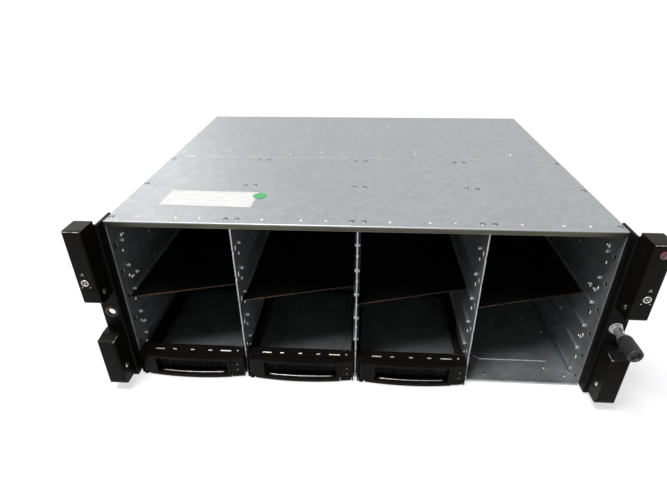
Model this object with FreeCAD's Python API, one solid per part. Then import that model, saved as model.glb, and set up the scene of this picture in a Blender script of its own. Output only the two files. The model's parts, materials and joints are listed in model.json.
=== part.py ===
import FreeCAD, Part
import math
import os

from FreeCAD import Vector

# Rack-mounted disk shelf: a sheet-steel chassis with columns of drive bays in front, power and
# interface modules behind, and a rack ear on each side.
# Millimetres.  +X right, +Z up, the bays open towards -Y.  The origin is at the middle of the
# chassis, on the underside of its floor.

# ---- driving dimensions -----------------------------------------------------------------------

# Rack interface.  The ear flanges bring the chassis out to the 482.6 mm panel of a 19 inch rack,
# with its holes 465.1 mm apart.
ear_flange_width = 17.7
rack_hole_inset = 8.75
rack_hole_height = 83.5
rack_hole_radius = 3.4

# Sheet metal
floor_sheet = 1.2
wall_sheet = 1.0
cover_sheet = 1.0
divider_sheet = 1.2
shelf_sheet = 1.0
partition_sheet = 1.0
flange_sheet = 0.8
cover_flange = 8.0
divider_flange = 9.0
floor_hem = 5.0
floor_hem_height = 2.2
floor_hem_round = 0.66
cover_hem = 5.5
cover_round = 0.6

# Bays.  A bay is as wide as a drive, its two rails and the ribs that carry them.
columns = 4
rows = 6
drive_width = 101.6
drive_gap = 0.2
rail_wall = 1.6
rail_side_gap = 0.4
rib_height = 2.2
row_pitch = 28.0
head_room = 4.8
cage_depth = 174.0
rear_depth = 188.0

# Guide ribs, latch holes and floor pads
rib_offset = 4.1
rib_radius = 1.8
rib_chamfer = 0.7
rib_start = 18.0
latch_hole_y = 7.5
latch_hole_width = 4.0
latch_hole_height = 5.0
notch_width = 4.2
notch_floor = 2.0
notch_depth = 1.0
pad_height = 0.7
pad_side_gap = 14.2
pad_start = 32.5
pad_length = 69.5
pad_corner = 6.0

# Mid shelves
shelf_row = 3
shelf_near = 7.5
shelf_slant = 32.0
shelf_flange = 6.0

# Midplane
midplane_lead = 8.0
midplane_sheet = 2.4
connector_width = 44.0
connector_height = 6.0
connector_key = 3.6
connector_depth = 8.0
connector_rise = 9.0
vent_side_gap = 32.2
vent_height = 6.0
vent_rise = 19.0
bracket_sheet = 1.0
bracket_foot = 8.0
bracket_rise = 10.0

# Cover seam
tab_width = 12.5
tab_depth = 3.0
tab_gap = 0.2
tab_inset = 19.7
rivet_radius = 2.2
rivet_height = 0.7
rivet_pitch = 10.4
rivet_first = 8.0
rivet_last = 10.0
rivet_row_count = 3
corner_rivet_inset = 4.0

# Ears
ear_sheet = 2.0
ear_front = 12.0
ear_leg = 26.0
ear_bend = 1.4
ear_bottom = 3.0
ear_rise = 1.0
ear_side_gap = 0.2
cap_edge_gap = 1.0
cap_depth = 21.0
cap_round = 2.0
upper_cap_rise = 5.0
upper_cap_length = 74.0
upper_cap_step = 18.0
upper_cap_foot_round = 4.0
upper_cap_top_round = 3.0
step_depth = 1.4
lower_cap_bottom = 8.0
lower_cap_length = 57.0
lower_cap_round = 7.0
scoop_drop = 1.2
scoop_depth = 11.5
status_rise = 24.0
ring_radius = 3.4
ring_hole = 2.0
ring_proud = 0.6
ring_depth = 2.0
alarm_inset = 8.5
alarm_radius = 3.6
alarm_gap = 0.3
alarm_length = 6.0
alarm_proud = 0.8
alarm_travel = 1.5
alarm_bevel = 0.5
status_offset = 2.4
cap_screw_radius = 2.4
cap_screw_inset = 7.0

# Captive thumbscrew
bush_radius = 6.0
bush_length = 2.5
shank_radius = 4.0
shank_length = 16.0
knob_radius = 6.6
knob_length = 21.0
knob_recess = 3.0
knob_recess_radius = 3.6
knob_ridges = 18
ridge_height = 0.6
thread_radius = 2.9
thread_length = 12.5
neck_radius = 2.6
neck_clear = 0.5
ring_clip_radius = 4.6
ring_clip_length = 1.0
clip_well_radius = 4.9
running_gap = 0.06

# Drive carriers
carriers = 3
carrier_end_gap = 8.0
rail_height = 20.0
rail_bottom = 1.2
runner_gap = 0.3
runner_sheet = 1.4
crossbar_length = 5.0
crossbar_sheet = 2.0
bezel_gap = 1.2
bezel_bottom = 0.3
bezel_row_gap = 2.4
bezel_end = 6.8
bezel_bow = 4.6
bezel_wall = 1.8
bezel_wall_front = 3.0
bezel_post = 1.4
top_flange_sheet = 1.2
top_flange_depth = 10.0
lamp_block_width = 13.0
block_rise = 6.0
move_gap = 0.4
lever_gap = 0.6
lever_edge_gap = 0.2
lever_post = 16.8
lever_end_bar = 3.2
lever_bar_low = 3.6
lever_bar_high = 2.8
hinge_inset = 4.5
hinge_front = 5.6
barrel_radius = 2.0
trunnion_radius = 1.0
hinge_ear_radius = 2.9
hinge_ear_sheet = 1.4
hook_low = 2.6
hook_sheet = 2.0
hook_half_width = 2.0
hook_reach = 13.0
hook_nose = 2.0
hook_neck = 7.0
hook_tip_gap = 0.1
hook_clear_angle = 60.0
catch_height = 4.8
catch_travel = 1.8
catch_gap = 0.2
catch_inset = 0.3
catch_bevel = 0.5
pipe_radius = 0.9
pipe_proud = 0.2
pipe_rise = 9.5
pipe_pitch = 6.9
strip_sheet = 0.5
strip_width = 4.0
strip_front = 0.4
strip_end = 2.0
finger_rise = 0.3
finger_width = 1.6
finger_bevel = 0.5
contact_windows = [(-34.3, 10.2), (-18.8, 4.4), (-0.2, 4.4), (18.1, 4.4), (34.6, 12.0)]
wall_slots = 6
wall_slot_width = 9.0
wall_slot_pitch = 12.4
wall_slot_height = 11.2
wall_slot_rise = 6.4

# Rear modules
module_gap = 0.6
module_end_gap = 15.0
inlet_width = 36.0
inlet_height = 44.0
inlet_bar = 6.0
plate_sheet = 1.6
plate_lap = 0.3
foot_flange = 1.0
foot_flange_width = 10.0
case_sheet = 1.2
case_chamfer = 1.0
tray_depth = 12.0
vent_margin = 10.0
vent_slot_width = 6.0
vent_slot_pitch = 18.0
fan_tip_gap = 1.5
fan_socket_gap = 1.0
fan_edge_gap = 2.45
fan_well = 26.0
fan_end_gap = 1.0
fan_frame_wall = 1.5
spider_sheet = 3.0
spider_half = 2.0
guard_slots = 12
guard_bar = 1.8
hub_radius = 14.0
hub_length = 18.0
hub_overlap = 3.0
fan_blades = 7
blade_chord = 19.0
blade_camber = 2.0
blade_turn = 38.0
blade_sheet = 1.4
stator_radius = 2.5
stator_gap = 3.0
socket_width = 28.0
socket_height = 20.0
socket_depth = 18.0
socket_wall = 2.0
socket_edge_gap = 1.45
socket_rise = 22.0
socket_pin_width = 2.0
socket_pin_height = 4.0
socket_pin_length = 12.0
socket_pin_pitch = 7.0
socket_pin_stagger = 1.5
rocker_width = 12.0
rocker_height = 18.0
rocker_rise = 48.0
rocker_tilt = 8.0
rocker_depth = 5.0
rocker_gap = 0.5
rocker_end_gap = 1.2
rocker_back = 2.0
rocker_sink = 1.0
latch_drop = 11.7
latch_length = 30.0
latch_height = 7.0
latch_sheet = 3.0
latch_tab = 4.5
latch_inset = 4.65
latch_pin_radius = 1.5
latch_pin_wall = 1.4
latch_boss = 3.2
lug_height = 2.0
lug_wall = 1.0
port_count = 4
port_width = 17.0
port_height = 11.0
port_wall = 0.8
port_depth = 14.0
port_proud = 1.0
port_pitch = 23.0
port_first = 86.0
port_rise = 12.0
ejector_length = 70.0
ejector_height = 9.0
ejector_side = 98.0
ejector_bevel = 1.2

# ---- derived sizes ----------------------------------------------------------------------------

bay_clear = drive_width + 2 * (drive_gap + rail_wall + rail_side_gap + rib_height)
bay_pitch = bay_clear + divider_sheet
body_width = columns * bay_clear + (columns - 1) * divider_sheet + 2 * wall_sheet
row_base = floor_sheet
cover_under = row_base + rows * row_pitch + head_room
body_height = cover_under + cover_sheet
body_depth = cage_depth + rear_depth
front = -body_depth / 2
seam = front + cage_depth
back = body_depth / 2
half_inside = body_width / 2 - wall_sheet
bay_centres = [(i - (columns - 1) / 2) * bay_pitch for i in range(columns)]
divider_places = [(i - (columns - 2) / 2) * bay_pitch for i in range(columns - 1)]
midplane_front = seam - midplane_lead
midplane_back = midplane_front + midplane_sheet

# Share of a quarter arc's radius from its corner to its middle, along each side
arc_inset = 1 - math.sqrt(0.5)
# How far a cutting tool reaches past the face that it cuts
over = 1.0
# Sides of a small round piece that repeats
few_sides = 6
pin_sides = 12
more_sides = 20


# ---- shape helpers ----------------------------------------------------------------------------

def block(x0, x1, y0, y1, z0, z1):
    """Box between two corners."""
    return Part.makeBox(x1 - x0, y1 - y0, z1 - z0, Vector(x0, y0, z0))


def rod(radius, start, direction, length):
    """Cylinder from a point along a direction."""
    return Part.makeCylinder(radius, length, start, direction)


def loop(points):
    """Closed wire. A pair in the list is the middle and end of an arc, a point ends a line."""
    edges = []
    last = points[0]
    for step in points[1:] + [points[0]]:
        if isinstance(step, tuple):
            edges.append(Part.Arc(last, step[0], step[1]).toShape())
            last = step[1]
        elif step.distanceToPoint(last) > 1e-6:
            edges.append(Part.LineSegment(last, step).toShape())
            last = step
    return Part.Wire(edges)


def prism(points, move):
    """Closed outline pushed along a vector."""
    return Part.Face(loop(points)).extrude(move)


def faceted(sides, radius, start, move):
    """Prism on a regular polygon about a point, along Y or Z, for small pieces that repeat."""
    points = []
    for i in range(sides):
        angle = 2 * math.pi * (i + 0.5) / sides
        across = radius * math.cos(angle)
        other = radius * math.sin(angle)
        points.append(start + (Vector(across, other, 0) if move.z else Vector(across, 0, other)))
    return prism(points, move)


def bore_corner(sides, pin_radius):
    """Corner radius of a faceted bore that clears a pin however it is turned."""
    return (pin_radius + running_gap) / math.cos(math.pi / sides)


def join(pieces):
    """One solid from touching pieces."""
    return pieces[0].fuse(pieces[1:]).removeSplitter()


def mirrored(shape):
    """The same piece for the other side."""
    return shape.mirror(Vector(0, 0, 0), Vector(1, 0, 0))


def edges_along(shape, axis, test):
    """Straight edges parallel to an axis (0, 1 or 2) whose middle passes the test."""
    found = []
    for edge in shape.Edges:
        if not isinstance(edge.Curve, (Part.Line, Part.LineSegment)):
            continue
        run = edge.Vertexes[1].Point - edge.Vertexes[0].Point
        if abs(abs(run[axis]) - run.Length) < 1e-6 and test(edge.CenterOfMass):
            found.append(edge)
    return found


# ---- chassis ----------------------------------------------------------------------------------

def guide_rib(face, side, y_end, z):
    """Embossed rib on a sheet face, with a tapered front end; side is the way it stands out."""
    start = front + rib_start
    flat = rib_radius * math.tan(math.pi / 8)
    slope = rib_radius - flat
    points = [
        Vector(face, y_end, z - rib_radius),
        Vector(face, start + slope, z - rib_radius),
        Vector(face, start, z - flat),
        Vector(face, start, z + flat),
        Vector(face, start + slope, z + rib_radius),
        Vector(face, y_end, z + rib_radius),
    ]
    rib = prism(points, Vector(side * rib_height, 0, 0))
    tip = face + side * rib_height
    rim = []
    for edge in rib.Edges:
        middle = edge.CenterOfMass
        if abs(middle.x - tip) < 1e-6 and middle.y < y_end - rib_radius:
            rim.append(edge)
    return rib.makeChamfer(rib_chamfer, rim)


def ribbed(sheet, faces):
    """A sheet with one rib for each row on the given faces, listed as (x, way out)."""
    pieces = [sheet]
    for face, side in faces:
        for row in range(rows):
            z = row_base + row * row_pitch + rib_offset
            pieces.append(guide_rib(face, side, midplane_front, z))
    return join(pieces)


def latch_cuts(x0, x1, notched):
    """Tools that cut each row's latch hole, and the shallow notch in a divider's front edge."""
    cuts = []
    for row in range(rows):
        z = row_base + row * row_pitch + rib_offset
        y = front + latch_hole_y
        half = latch_hole_width / 2
        rise = latch_hole_height / 2
        cuts.append(block(x0, x1, y - half, y + half, z - rise, z + rise))
        if notched:
            outline = [
                Vector(x0, front - over, z - notch_width / 2 - over),
                Vector(x0, front + notch_depth, z - notch_floor / 2),
                Vector(x0, front + notch_depth, z + notch_floor / 2),
                Vector(x0, front - over, z + notch_width / 2 + over),
            ]
            cuts.append(prism(outline, Vector(x1 - x0, 0, 0)))
    return cuts


def make_floor():
    """Floor pan with a rounded hem at the front and one raised pad under each bay."""
    half = body_width / 2
    pan = join([
        block(-half, half, front, back, 0, floor_sheet),
        block(-half_inside, half_inside, front, front + floor_hem, 0, floor_hem_height),
    ])
    lip = edges_along(pan, 0, lambda p: p.y < front + 0.01 and p.z > floor_sheet and abs(p.x) < 1)
    pan = pan.makeFillet(floor_hem_round, lip)
    y0 = front + pad_start
    y1 = y0 + pad_length
    reach = bay_clear / 2 - pad_side_gap
    for centre in bay_centres:
        pad = block(centre - reach, centre + reach, y0, y1, floor_sheet, floor_sheet + pad_height)
        pan = pan.fuse(pad.makeChamfer(pad_corner, edges_along(pad, 2, lambda p: True)))
    return pan.removeSplitter()


def make_side_wall():
    """Left wall: sheet with a flange under the cover, and a foot behind the midplane."""
    outer = -body_width / 2
    inner = outer + wall_sheet
    foot_front = midplane_back + bracket_foot + module_gap
    sheet = join([
        block(outer, inner, front, back, floor_sheet, cover_under),
        block(inner, inner + cover_flange, front, back, cover_under - foot_flange, cover_under),
        block(inner, inner + foot_flange_width, foot_front, back, floor_sheet, floor_sheet + foot_flange),
    ])
    wall = ribbed(sheet, [(inner, 1)])
    return wall.cut(latch_cuts(outer - over, inner + over, False))


def make_divider(place):
    """Two sheets back to back, with flanges to the floor and the cover."""
    half = divider_sheet / 2
    top = cover_under - flange_sheet
    foot = floor_sheet + flange_sheet
    sheet = join([
        block(-half, half, front, midplane_front, floor_sheet, cover_under),
        block(-divider_flange, divider_flange, front, midplane_front, top, cover_under),
        block(-divider_flange, divider_flange, front + floor_hem, midplane_front, floor_sheet, foot),
    ])
    sheet = sheet.cut(block(-half, half, front, front + floor_hem, 0, floor_hem_height))
    divider = ribbed(sheet, [(half, 1), (-half, -1)])
    divider = divider.cut(latch_cuts(-half - over / 2, half + over / 2, True))
    divider.translate(Vector(place, 0, 0))
    return divider


def make_mid_shelves():
    """One shelf per bay, under a row of ribs, with a slanted front edge and side flanges."""
    top = row_base + shelf_row * row_pitch + rib_offset - rib_radius
    low = top - shelf_sheet
    foot = top - shelf_flange
    half = bay_clear / 2
    near = front + shelf_near
    far = near + shelf_slant
    shelves = []
    for centre in bay_centres:
        left = centre - half
        right = centre + half
        outline = [
            Vector(left, near, low),
            Vector(right, far, low),
            Vector(right, midplane_front, low),
            Vector(left, midplane_front, low),
        ]
        plate = prism(outline, Vector(0, 0, shelf_sheet))
        left_flange = block(left, left + shelf_sheet, near + rib_start, midplane_front, foot, low)
        right_flange = block(right - shelf_sheet, right, far + rib_start, midplane_front, foot, low)
        shelves.append(join([plate, left_flange, right_flange]))
    return Part.makeCompound(shelves)


def tab_centres():
    """Middles of the seam tabs, one near each side of every bay."""
    half = bay_clear / 2
    return [centre + side * (half - tab_inset) for centre in bay_centres for side in (-1, 1)]


def make_front_cover():
    """Cover over the bays: its front edge hangs over the chassis, its rear edge has notches."""
    half = body_width / 2
    low = body_height - cover_hem
    face = front - cover_sheet
    turn = cover_sheet * arc_inset
    profile = [
        Vector(-half, seam, body_height),
        Vector(-half, seam, cover_under),
        Vector(-half, front, cover_under),
        Vector(-half, front, low),
        Vector(-half, face, low),
        Vector(-half, face, cover_under),
        (Vector(-half, face + turn, body_height - turn), Vector(-half, front, body_height)),
    ]
    cover = prism(profile, Vector(body_width, 0, 0))
    notches = []
    for x in tab_centres():
        reach = tab_width / 2 + tab_gap
        start = seam - tab_depth - tab_gap
        notches.append(block(x - reach, x + reach, start, seam + over, cover_under, body_height + over))
    return cover.cut(notches)


def make_rear_cover():
    """Cover over the rear modules, with tabs that meet the notches of the front cover."""
    half = body_width / 2
    pieces = [block(-half, half, seam + tab_gap, back, cover_under, body_height)]
    for x in tab_centres():
        reach = tab_width / 2
        pieces.append(block(x - reach, x + reach, seam - tab_depth, seam + over, cover_under, body_height))
    cover = join(pieces)
    rim = edges_along(cover, 0, lambda p: p.y > back - 0.01 and p.z > body_height - 0.01)
    return cover.makeFillet(cover_round, rim)


def make_cover_rivets():
    """Flat rivet heads over the divider and wall flanges."""
    step = (cage_depth - rivet_first - rivet_last) / (rivet_row_count - 1)
    places = [place + side * rivet_pitch / 2 for place in divider_places for side in (-1, 1)]
    places += [side * (body_width / 2 - corner_rivet_inset) for side in (-1, 1)]
    heads = []
    for row in range(rivet_row_count):
        y = front + rivet_first + row * step
        for x in places:
            base = Vector(x, y, body_height)
            heads.append(faceted(few_sides, rivet_radius, base, Vector(0, 0, rivet_height)))
    return Part.makeCompound(heads)


# ---- midplane ---------------------------------------------------------------------------------

def make_midplane():
    """Board across the chassis, with an air slot behind each drive."""
    half = half_inside
    board = block(-half, half, midplane_front, midplane_back, floor_sheet, cover_under - foot_flange)
    reach = bay_clear / 2 - vent_side_gap
    slots = []
    for centre in bay_centres:
        for row in range(rows):
            low = row_base + row * row_pitch + vent_rise - vent_height / 2
            slots.append(block(centre - reach, centre + reach, midplane_front - over, midplane_back + over,
                               low, low + vent_height))
    return board.cut(slots)


def make_drive_connectors():
    """One plug shell per drive bay, with the step that keys it."""
    shells = []
    for centre in bay_centres:
        for row in range(rows):
            z0 = row_base + row * row_pitch + connector_rise - connector_height / 2
            z1 = z0 + connector_height
            x0 = centre - connector_width / 2
            x1 = centre + connector_width / 2
            outline = [
                Vector(x0, midplane_front, z0),
                Vector(x1, midplane_front, z0),
                Vector(x1, midplane_front, z1),
                Vector(x0 + connector_height, midplane_front, z1),
                Vector(x0 + connector_height, midplane_front, z0 + connector_key),
                Vector(x0, midplane_front, z0 + connector_key),
            ]
            shells.append(prism(outline, Vector(0, -connector_depth, 0)))
    return Part.makeCompound(shells)


def make_midplane_brackets():
    """Angles that hold the board at its foot and its head."""
    y0 = midplane_back
    y1 = y0 + bracket_sheet
    y2 = y0 + bracket_foot
    half = half_inside
    low = join([
        block(-half, half, y0, y1, floor_sheet, floor_sheet + bracket_rise),
        block(-half, half, y1, y2, floor_sheet, floor_sheet + bracket_sheet),
    ])
    top = cover_under - foot_flange
    high = join([
        block(-half, half, y0, y1, top - bracket_rise, top),
        block(-half, half, y1, y2, top - bracket_sheet, top),
    ])
    return Part.makeCompound([low, high])


# ---- rear cage --------------------------------------------------------------------------------

rear_start = midplane_back + bracket_foot + module_gap
rear_end = back - plate_lap
partition_place = bay_pitch * (columns - 2) / 2
slot_height = (cover_under - floor_sheet) / 4
side_shelf = floor_sheet + 2 * slot_height
middle_low = floor_sheet + slot_height
middle_high = floor_sheet + 3 * slot_height
side_left = -half_inside
side_right = -partition_place - partition_sheet / 2
middle_half = partition_place - partition_sheet / 2
module_front = rear_start + module_end_gap


def make_rear_partitions():
    """Two upright sheets between the module columns."""
    sheets = []
    for side in (-1, 1):
        x = side * partition_place
        half = partition_sheet / 2
        sheets.append(block(x - half, x + half, rear_start, rear_end, floor_sheet, cover_under))
    return Part.makeCompound(sheets)


def make_rear_shelves():
    """Sheets that carry the upper modules: one each side and two in the middle."""
    half = partition_sheet / 2
    shelves = [block(side_left, side_right, rear_start, rear_end, side_shelf - half, side_shelf + half)]
    shelves.append(mirrored(shelves[0]))
    for z in (middle_low, middle_high):
        shelves.append(block(-middle_half, middle_half, rear_start, rear_end, z - half, z + half))
    return Part.makeCompound(shelves)


def vent_cuts(x0, x1, z, height, y0, y1):
    """A row of upright slots between two places, centred on z."""
    cuts = []
    count = int((x1 - x0) / vent_slot_pitch)
    start = (x0 + x1) / 2 - (count - 1) * vent_slot_pitch / 2
    half = vent_slot_width / 2
    for i in range(count):
        x = start + i * vent_slot_pitch
        cuts.append(block(x - half, x + half, y0, y1, z - height / 2, z + height / 2))
    return cuts


def blank_panel(x0, x1, z0, z1):
    """Blanking tray: a vented plate with a lip all round that slides into its slot."""
    y0 = back - tray_depth
    y1 = back + plate_sheet
    tray = block(x0, x1, y0, y1, z0, z1)
    hollow = block(x0 + plate_sheet, x1 - plate_sheet, y0 - over, y1 - plate_sheet,
                   z0 + plate_sheet, z1 - plate_sheet)
    tray = tray.cut(hollow)
    height = z1 - z0
    return tray.cut(vent_cuts(x0 + vent_margin, x1 - vent_margin, z0 + height / 2, height / 2, y0, y1 + over))


def make_blank_panels():
    """Blanks over the two upper side slots and the middle slots between the interface modules."""
    half = partition_sheet / 2
    gap = module_gap / 2
    side_top = cover_under - foot_flange - gap
    side = blank_panel(side_left + gap, side_right - gap, side_shelf + half, side_top)
    middle = blank_panel(-middle_half + gap, middle_half - gap, middle_low + half, middle_high - half - gap)
    return Part.makeCompound([side, mirrored(side), middle])


# ---- rack ears --------------------------------------------------------------------------------

ear_leg_inner = body_width / 2
ear_leg_outer = ear_leg_inner + ear_sheet
ear_face = front - ear_front
ear_back = ear_face + ear_sheet
clip_floor = ear_back - ring_clip_length - 2 * move_gap
ear_edge = body_width / 2 + ear_flange_width
ear_top = body_height + ear_rise
hole_x = ear_edge - rack_hole_inset
cap_left = ear_leg_outer + ear_side_gap
cap_right = ear_edge + cap_edge_gap
cap_face = ear_face - cap_depth
status_x = hole_x + status_offset
upper_cap_top = body_height + upper_cap_rise
upper_cap_bottom = upper_cap_top - upper_cap_length
lower_cap_top = lower_cap_bottom + lower_cap_length
ring_height = upper_cap_bottom + status_rise
cap_screw_heights = [
    lower_cap_bottom + cap_screw_inset,
    lower_cap_top - cap_screw_inset,
    upper_cap_bottom + cap_screw_inset,
    upper_cap_top - cap_screw_inset,
]
alarm_height = upper_cap_top - alarm_inset


def make_ear_bracket(hole):
    """Right ear: a leg along the wall and a flange towards the rack rail, cut by the tool given."""
    ear = join([
        block(ear_leg_inner, ear_leg_outer, ear_face, ear_face + ear_leg, ear_bottom, ear_top),
        block(ear_leg_inner, ear_edge, ear_face, ear_face + ear_sheet, ear_bottom, ear_top),
    ])
    bend = edges_along(ear, 2, lambda p: abs(p.x - ear_leg_inner) < 0.01 and p.y < ear_face + 0.01)
    ear = ear.makeFillet(ear_bend, bend)
    cuts = [hole]
    for z in cap_screw_heights:
        cuts.append(faceted(few_sides, cap_screw_radius, Vector(hole_x, ear_face, z), Vector(0, ear_sheet, 0)))
    return ear.cut(cuts)


def rounded_cap(points, bottom, top):
    """Side outline pushed across the ear, met with a plan outline that rounds both front corners."""
    side = prism(points, Vector(cap_right - cap_left, 0, 0))
    inset = cap_round * arc_inset
    plan = [
        Vector(cap_left, ear_face, bottom),
        Vector(cap_left, cap_face + cap_round, bottom),
        (Vector(cap_left + inset, cap_face + inset, bottom), Vector(cap_left + cap_round, cap_face, bottom)),
        Vector(cap_right - cap_round, cap_face, bottom),
        (Vector(cap_right - inset, cap_face + inset, bottom), Vector(cap_right, cap_face + cap_round, bottom)),
        Vector(cap_right, ear_face, bottom),
    ]
    return side.common(prism(plan, Vector(0, 0, top - bottom)))


def upper_cap_shape():
    """Upper moulded cap: side outline with a step near its foot and both ends rounded."""
    foot = cap_face + step_depth
    low = upper_cap_foot_round
    high = upper_cap_top_round
    points = [
        Vector(cap_left, ear_face, upper_cap_bottom),
        Vector(cap_left, foot + low, upper_cap_bottom),
        (Vector(cap_left, foot + low * arc_inset, upper_cap_bottom + low * arc_inset),
         Vector(cap_left, foot, upper_cap_bottom + low)),
        Vector(cap_left, foot, upper_cap_bottom + upper_cap_step),
        Vector(cap_left, cap_face, upper_cap_bottom + upper_cap_step + step_depth),
        Vector(cap_left, cap_face, upper_cap_top - high),
        (Vector(cap_left, cap_face + high * arc_inset, upper_cap_top - high * arc_inset),
         Vector(cap_left, cap_face + high, upper_cap_top)),
        Vector(cap_left, ear_face, upper_cap_top),
    ]
    return rounded_cap(points, upper_cap_bottom, upper_cap_top)


def make_upper_cap(with_alarm):
    """Right upper cap, bored for the status ring and, on one side, for the alarm button."""
    cap = upper_cap_shape()
    seat = faceted(more_sides, ring_radius, Vector(status_x, cap_face - over, ring_height),
                   Vector(0, ring_depth + over, 0))
    cap = cap.cut(seat)
    if with_alarm:
        depth = alarm_length + alarm_travel + alarm_gap
        well = faceted(more_sides, alarm_radius + alarm_gap, Vector(status_x, cap_face - over, alarm_height),
                       Vector(0, depth, 0))
        cap = cap.cut(well)
    return cap


def make_lower_cap():
    """Right lower cap: scooped out along its top front edge so fingers can grip it."""
    low = lower_cap_round
    lip = lower_cap_top - scoop_drop
    points = [
        Vector(cap_left, ear_face, lower_cap_bottom),
        Vector(cap_left, cap_face + low, lower_cap_bottom),
        (Vector(cap_left, cap_face + low * arc_inset, lower_cap_bottom + low * arc_inset),
         Vector(cap_left, cap_face, lower_cap_bottom + low)),
        Vector(cap_left, cap_face, lip),
        (Vector(cap_left, cap_face + scoop_depth / 2, lip + scoop_drop / 8),
         Vector(cap_left, cap_face + scoop_depth, lower_cap_top)),
        Vector(cap_left, ear_face, lower_cap_top),
    ]
    return rounded_cap(points, lower_cap_bottom, lower_cap_top)


def make_status_rings():
    """A lens bezel in each upper cap."""
    outer = faceted(more_sides, ring_radius, Vector(status_x, cap_face - ring_proud, ring_height),
                    Vector(0, ring_depth + ring_proud, 0))
    inner = faceted(more_sides, ring_hole, Vector(status_x, cap_face - over, ring_height),
                    Vector(0, ring_depth, 0))
    ring = outer.cut(inner)
    return Part.makeCompound([ring, mirrored(ring)])


def make_cap_screws():
    """Screw heads sunk in the ear flange, flush with its back, one near each end of a cap."""
    heads = []
    for z in cap_screw_heights:
        head = faceted(few_sides, cap_screw_radius, Vector(hole_x, ear_face, z), Vector(0, ear_sheet, 0))
        heads += [head, mirrored(head)]
    return Part.makeCompound(heads)


def make_alarm_button():
    """Push button with a bevelled rim."""
    start = Vector(status_x, cap_face - alarm_proud, alarm_height)
    button = faceted(more_sides, alarm_radius, start, Vector(0, alarm_length, 0))
    rim = [edge for edge in button.Edges if abs(edge.CenterOfMass.y - start.y) < 1e-6]
    return button.makeChamfer(alarm_bevel, rim)


def turned(radius, y0, y1):
    """Cylinder on the thumbscrew's axis between two depths."""
    return rod(radius, Vector(hole_x, y0, rack_hole_height), Vector(0, 1, 0), y1 - y0)


def sided(radius, y0, y1):
    """Many-sided prism on the same axis, for the surfaces that no gauge goes on."""
    return faceted(more_sides, radius, Vector(hole_x, y0, rack_hole_height), Vector(0, y1 - y0, 0))


def make_thumbscrew():
    """Captive screw drawn out of its bush: ridged knob with a sunk end, shoulder, neck and thread."""
    knob_back = ear_face - shank_length
    knob_front = knob_back - knob_length
    points = []
    for i in range(2 * knob_ridges):
        angle = math.pi * i / knob_ridges
        radius = knob_radius - (i % 2) * ridge_height
        points.append(Vector(hole_x + radius * math.cos(angle), knob_front,
                             rack_hole_height + radius * math.sin(angle)))
    knob = prism(points, Vector(0, knob_length, 0))
    knob = knob.cut(sided(knob_recess_radius, knob_front - over, knob_front + knob_recess))
    shank = sided(shank_radius, knob_back, clip_floor)
    neck = sided(neck_radius, clip_floor, ear_back + neck_clear)
    thread = turned(thread_radius, ear_back + neck_clear, ear_back + neck_clear + thread_length)
    return join([knob, shank, neck, thread])


def bush_sleeve():
    """Outside of the thumbscrew's bush, which also cuts its hole in the ear."""
    return sided(bush_radius, ear_face - bush_length, ear_back)


def make_thumbscrew_bush():
    """Bush pressed through the ear, bored for the screw's shoulder and sunk for its clip."""
    bore = sided(bore_corner(more_sides, shank_radius), ear_face - bush_length - over, ear_back + over)
    well = sided(clip_well_radius, clip_floor, ear_back + over)
    return bush_sleeve().cut([bore, well])


def make_retaining_ring():
    """Clip round the screw's neck that stops it from leaving the bush."""
    start = clip_floor + move_gap
    end = start + ring_clip_length
    return sided(ring_clip_radius, start, end).cut(
        sided(bore_corner(more_sides, neck_radius), start - over, end + over))


# ---- drive carriers ---------------------------------------------------------------------------

bezel_half = bay_clear / 2 - bezel_gap
bezel_height = row_pitch - bezel_row_gap
bezel_top = bezel_bottom + bezel_height
arc_radius = (bezel_half ** 2 + bezel_bow ** 2) / (2 * bezel_bow)
rail_inner = drive_width / 2 + drive_gap
rail_outer = rail_inner + rail_wall
runner_tip = bay_clear / 2 - rail_side_gap
hinge_x = -bezel_half + hinge_inset
block_left = bezel_half - lamp_block_width
lever_right = block_left - move_gap
lever_back = -bezel_wall_front - lever_gap
wall_front = -bezel_wall_front
wall_back = wall_front + bezel_wall
lever_low = bezel_bottom + lever_edge_gap
lever_high = bezel_top - lever_edge_gap
carrier_length = cage_depth - midplane_lead - connector_depth - carrier_end_gap
pipe_x = block_left + lamp_block_width / 2
pipe_heights = [bezel_bottom + pipe_rise, bezel_bottom + pipe_rise + pipe_pitch]


def bow(x):
    """Depth of the bowed bezel face at x: a circular arc, deepest in the middle."""
    return -(bezel_end + bezel_bow) + arc_radius - math.sqrt(arc_radius ** 2 - x ** 2)


def bowed(x0, x1, y_back, z0, z1, inset=0.0):
    """Upright slab between two places whose front follows the bezel's arc."""
    middle = (x0 + x1) / 2
    points = [
        Vector(x0, y_back, z0),
        Vector(x1, y_back, z0),
        Vector(x1, bow(x1) + inset, z0),
        (Vector(middle, bow(middle) + inset, z0), Vector(x0, bow(x0) + inset, z0)),
    ]
    return prism(points, Vector(0, 0, z1 - z0))


def make_rail():
    """Right-hand rail: a web with a groove that rides over the guide rib."""
    groove_low = rib_offset - rib_radius - runner_gap
    groove_high = rib_offset + rib_radius + runner_gap
    rail_top = rail_bottom + rail_height
    points = [
        Vector(rail_inner, wall_back, rail_bottom),
        Vector(runner_tip, wall_back, rail_bottom),
        Vector(runner_tip, wall_back, groove_low),
        Vector(rail_outer, wall_back, groove_low),
        Vector(rail_outer, wall_back, groove_high),
        Vector(runner_tip, wall_back, groove_high),
        Vector(runner_tip, wall_back, groove_high + runner_sheet),
        Vector(rail_outer, wall_back, groove_high + runner_sheet),
        Vector(rail_outer, wall_back, rail_top),
        Vector(rail_inner, wall_back, rail_top),
    ]
    rail = prism(points, Vector(0, carrier_length - wall_back, 0))
    runner_start = floor_hem + over
    return rail.cut(block(rail_outer, runner_tip + over, wall_back - over, runner_start, 0, rail_top + over))


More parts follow.
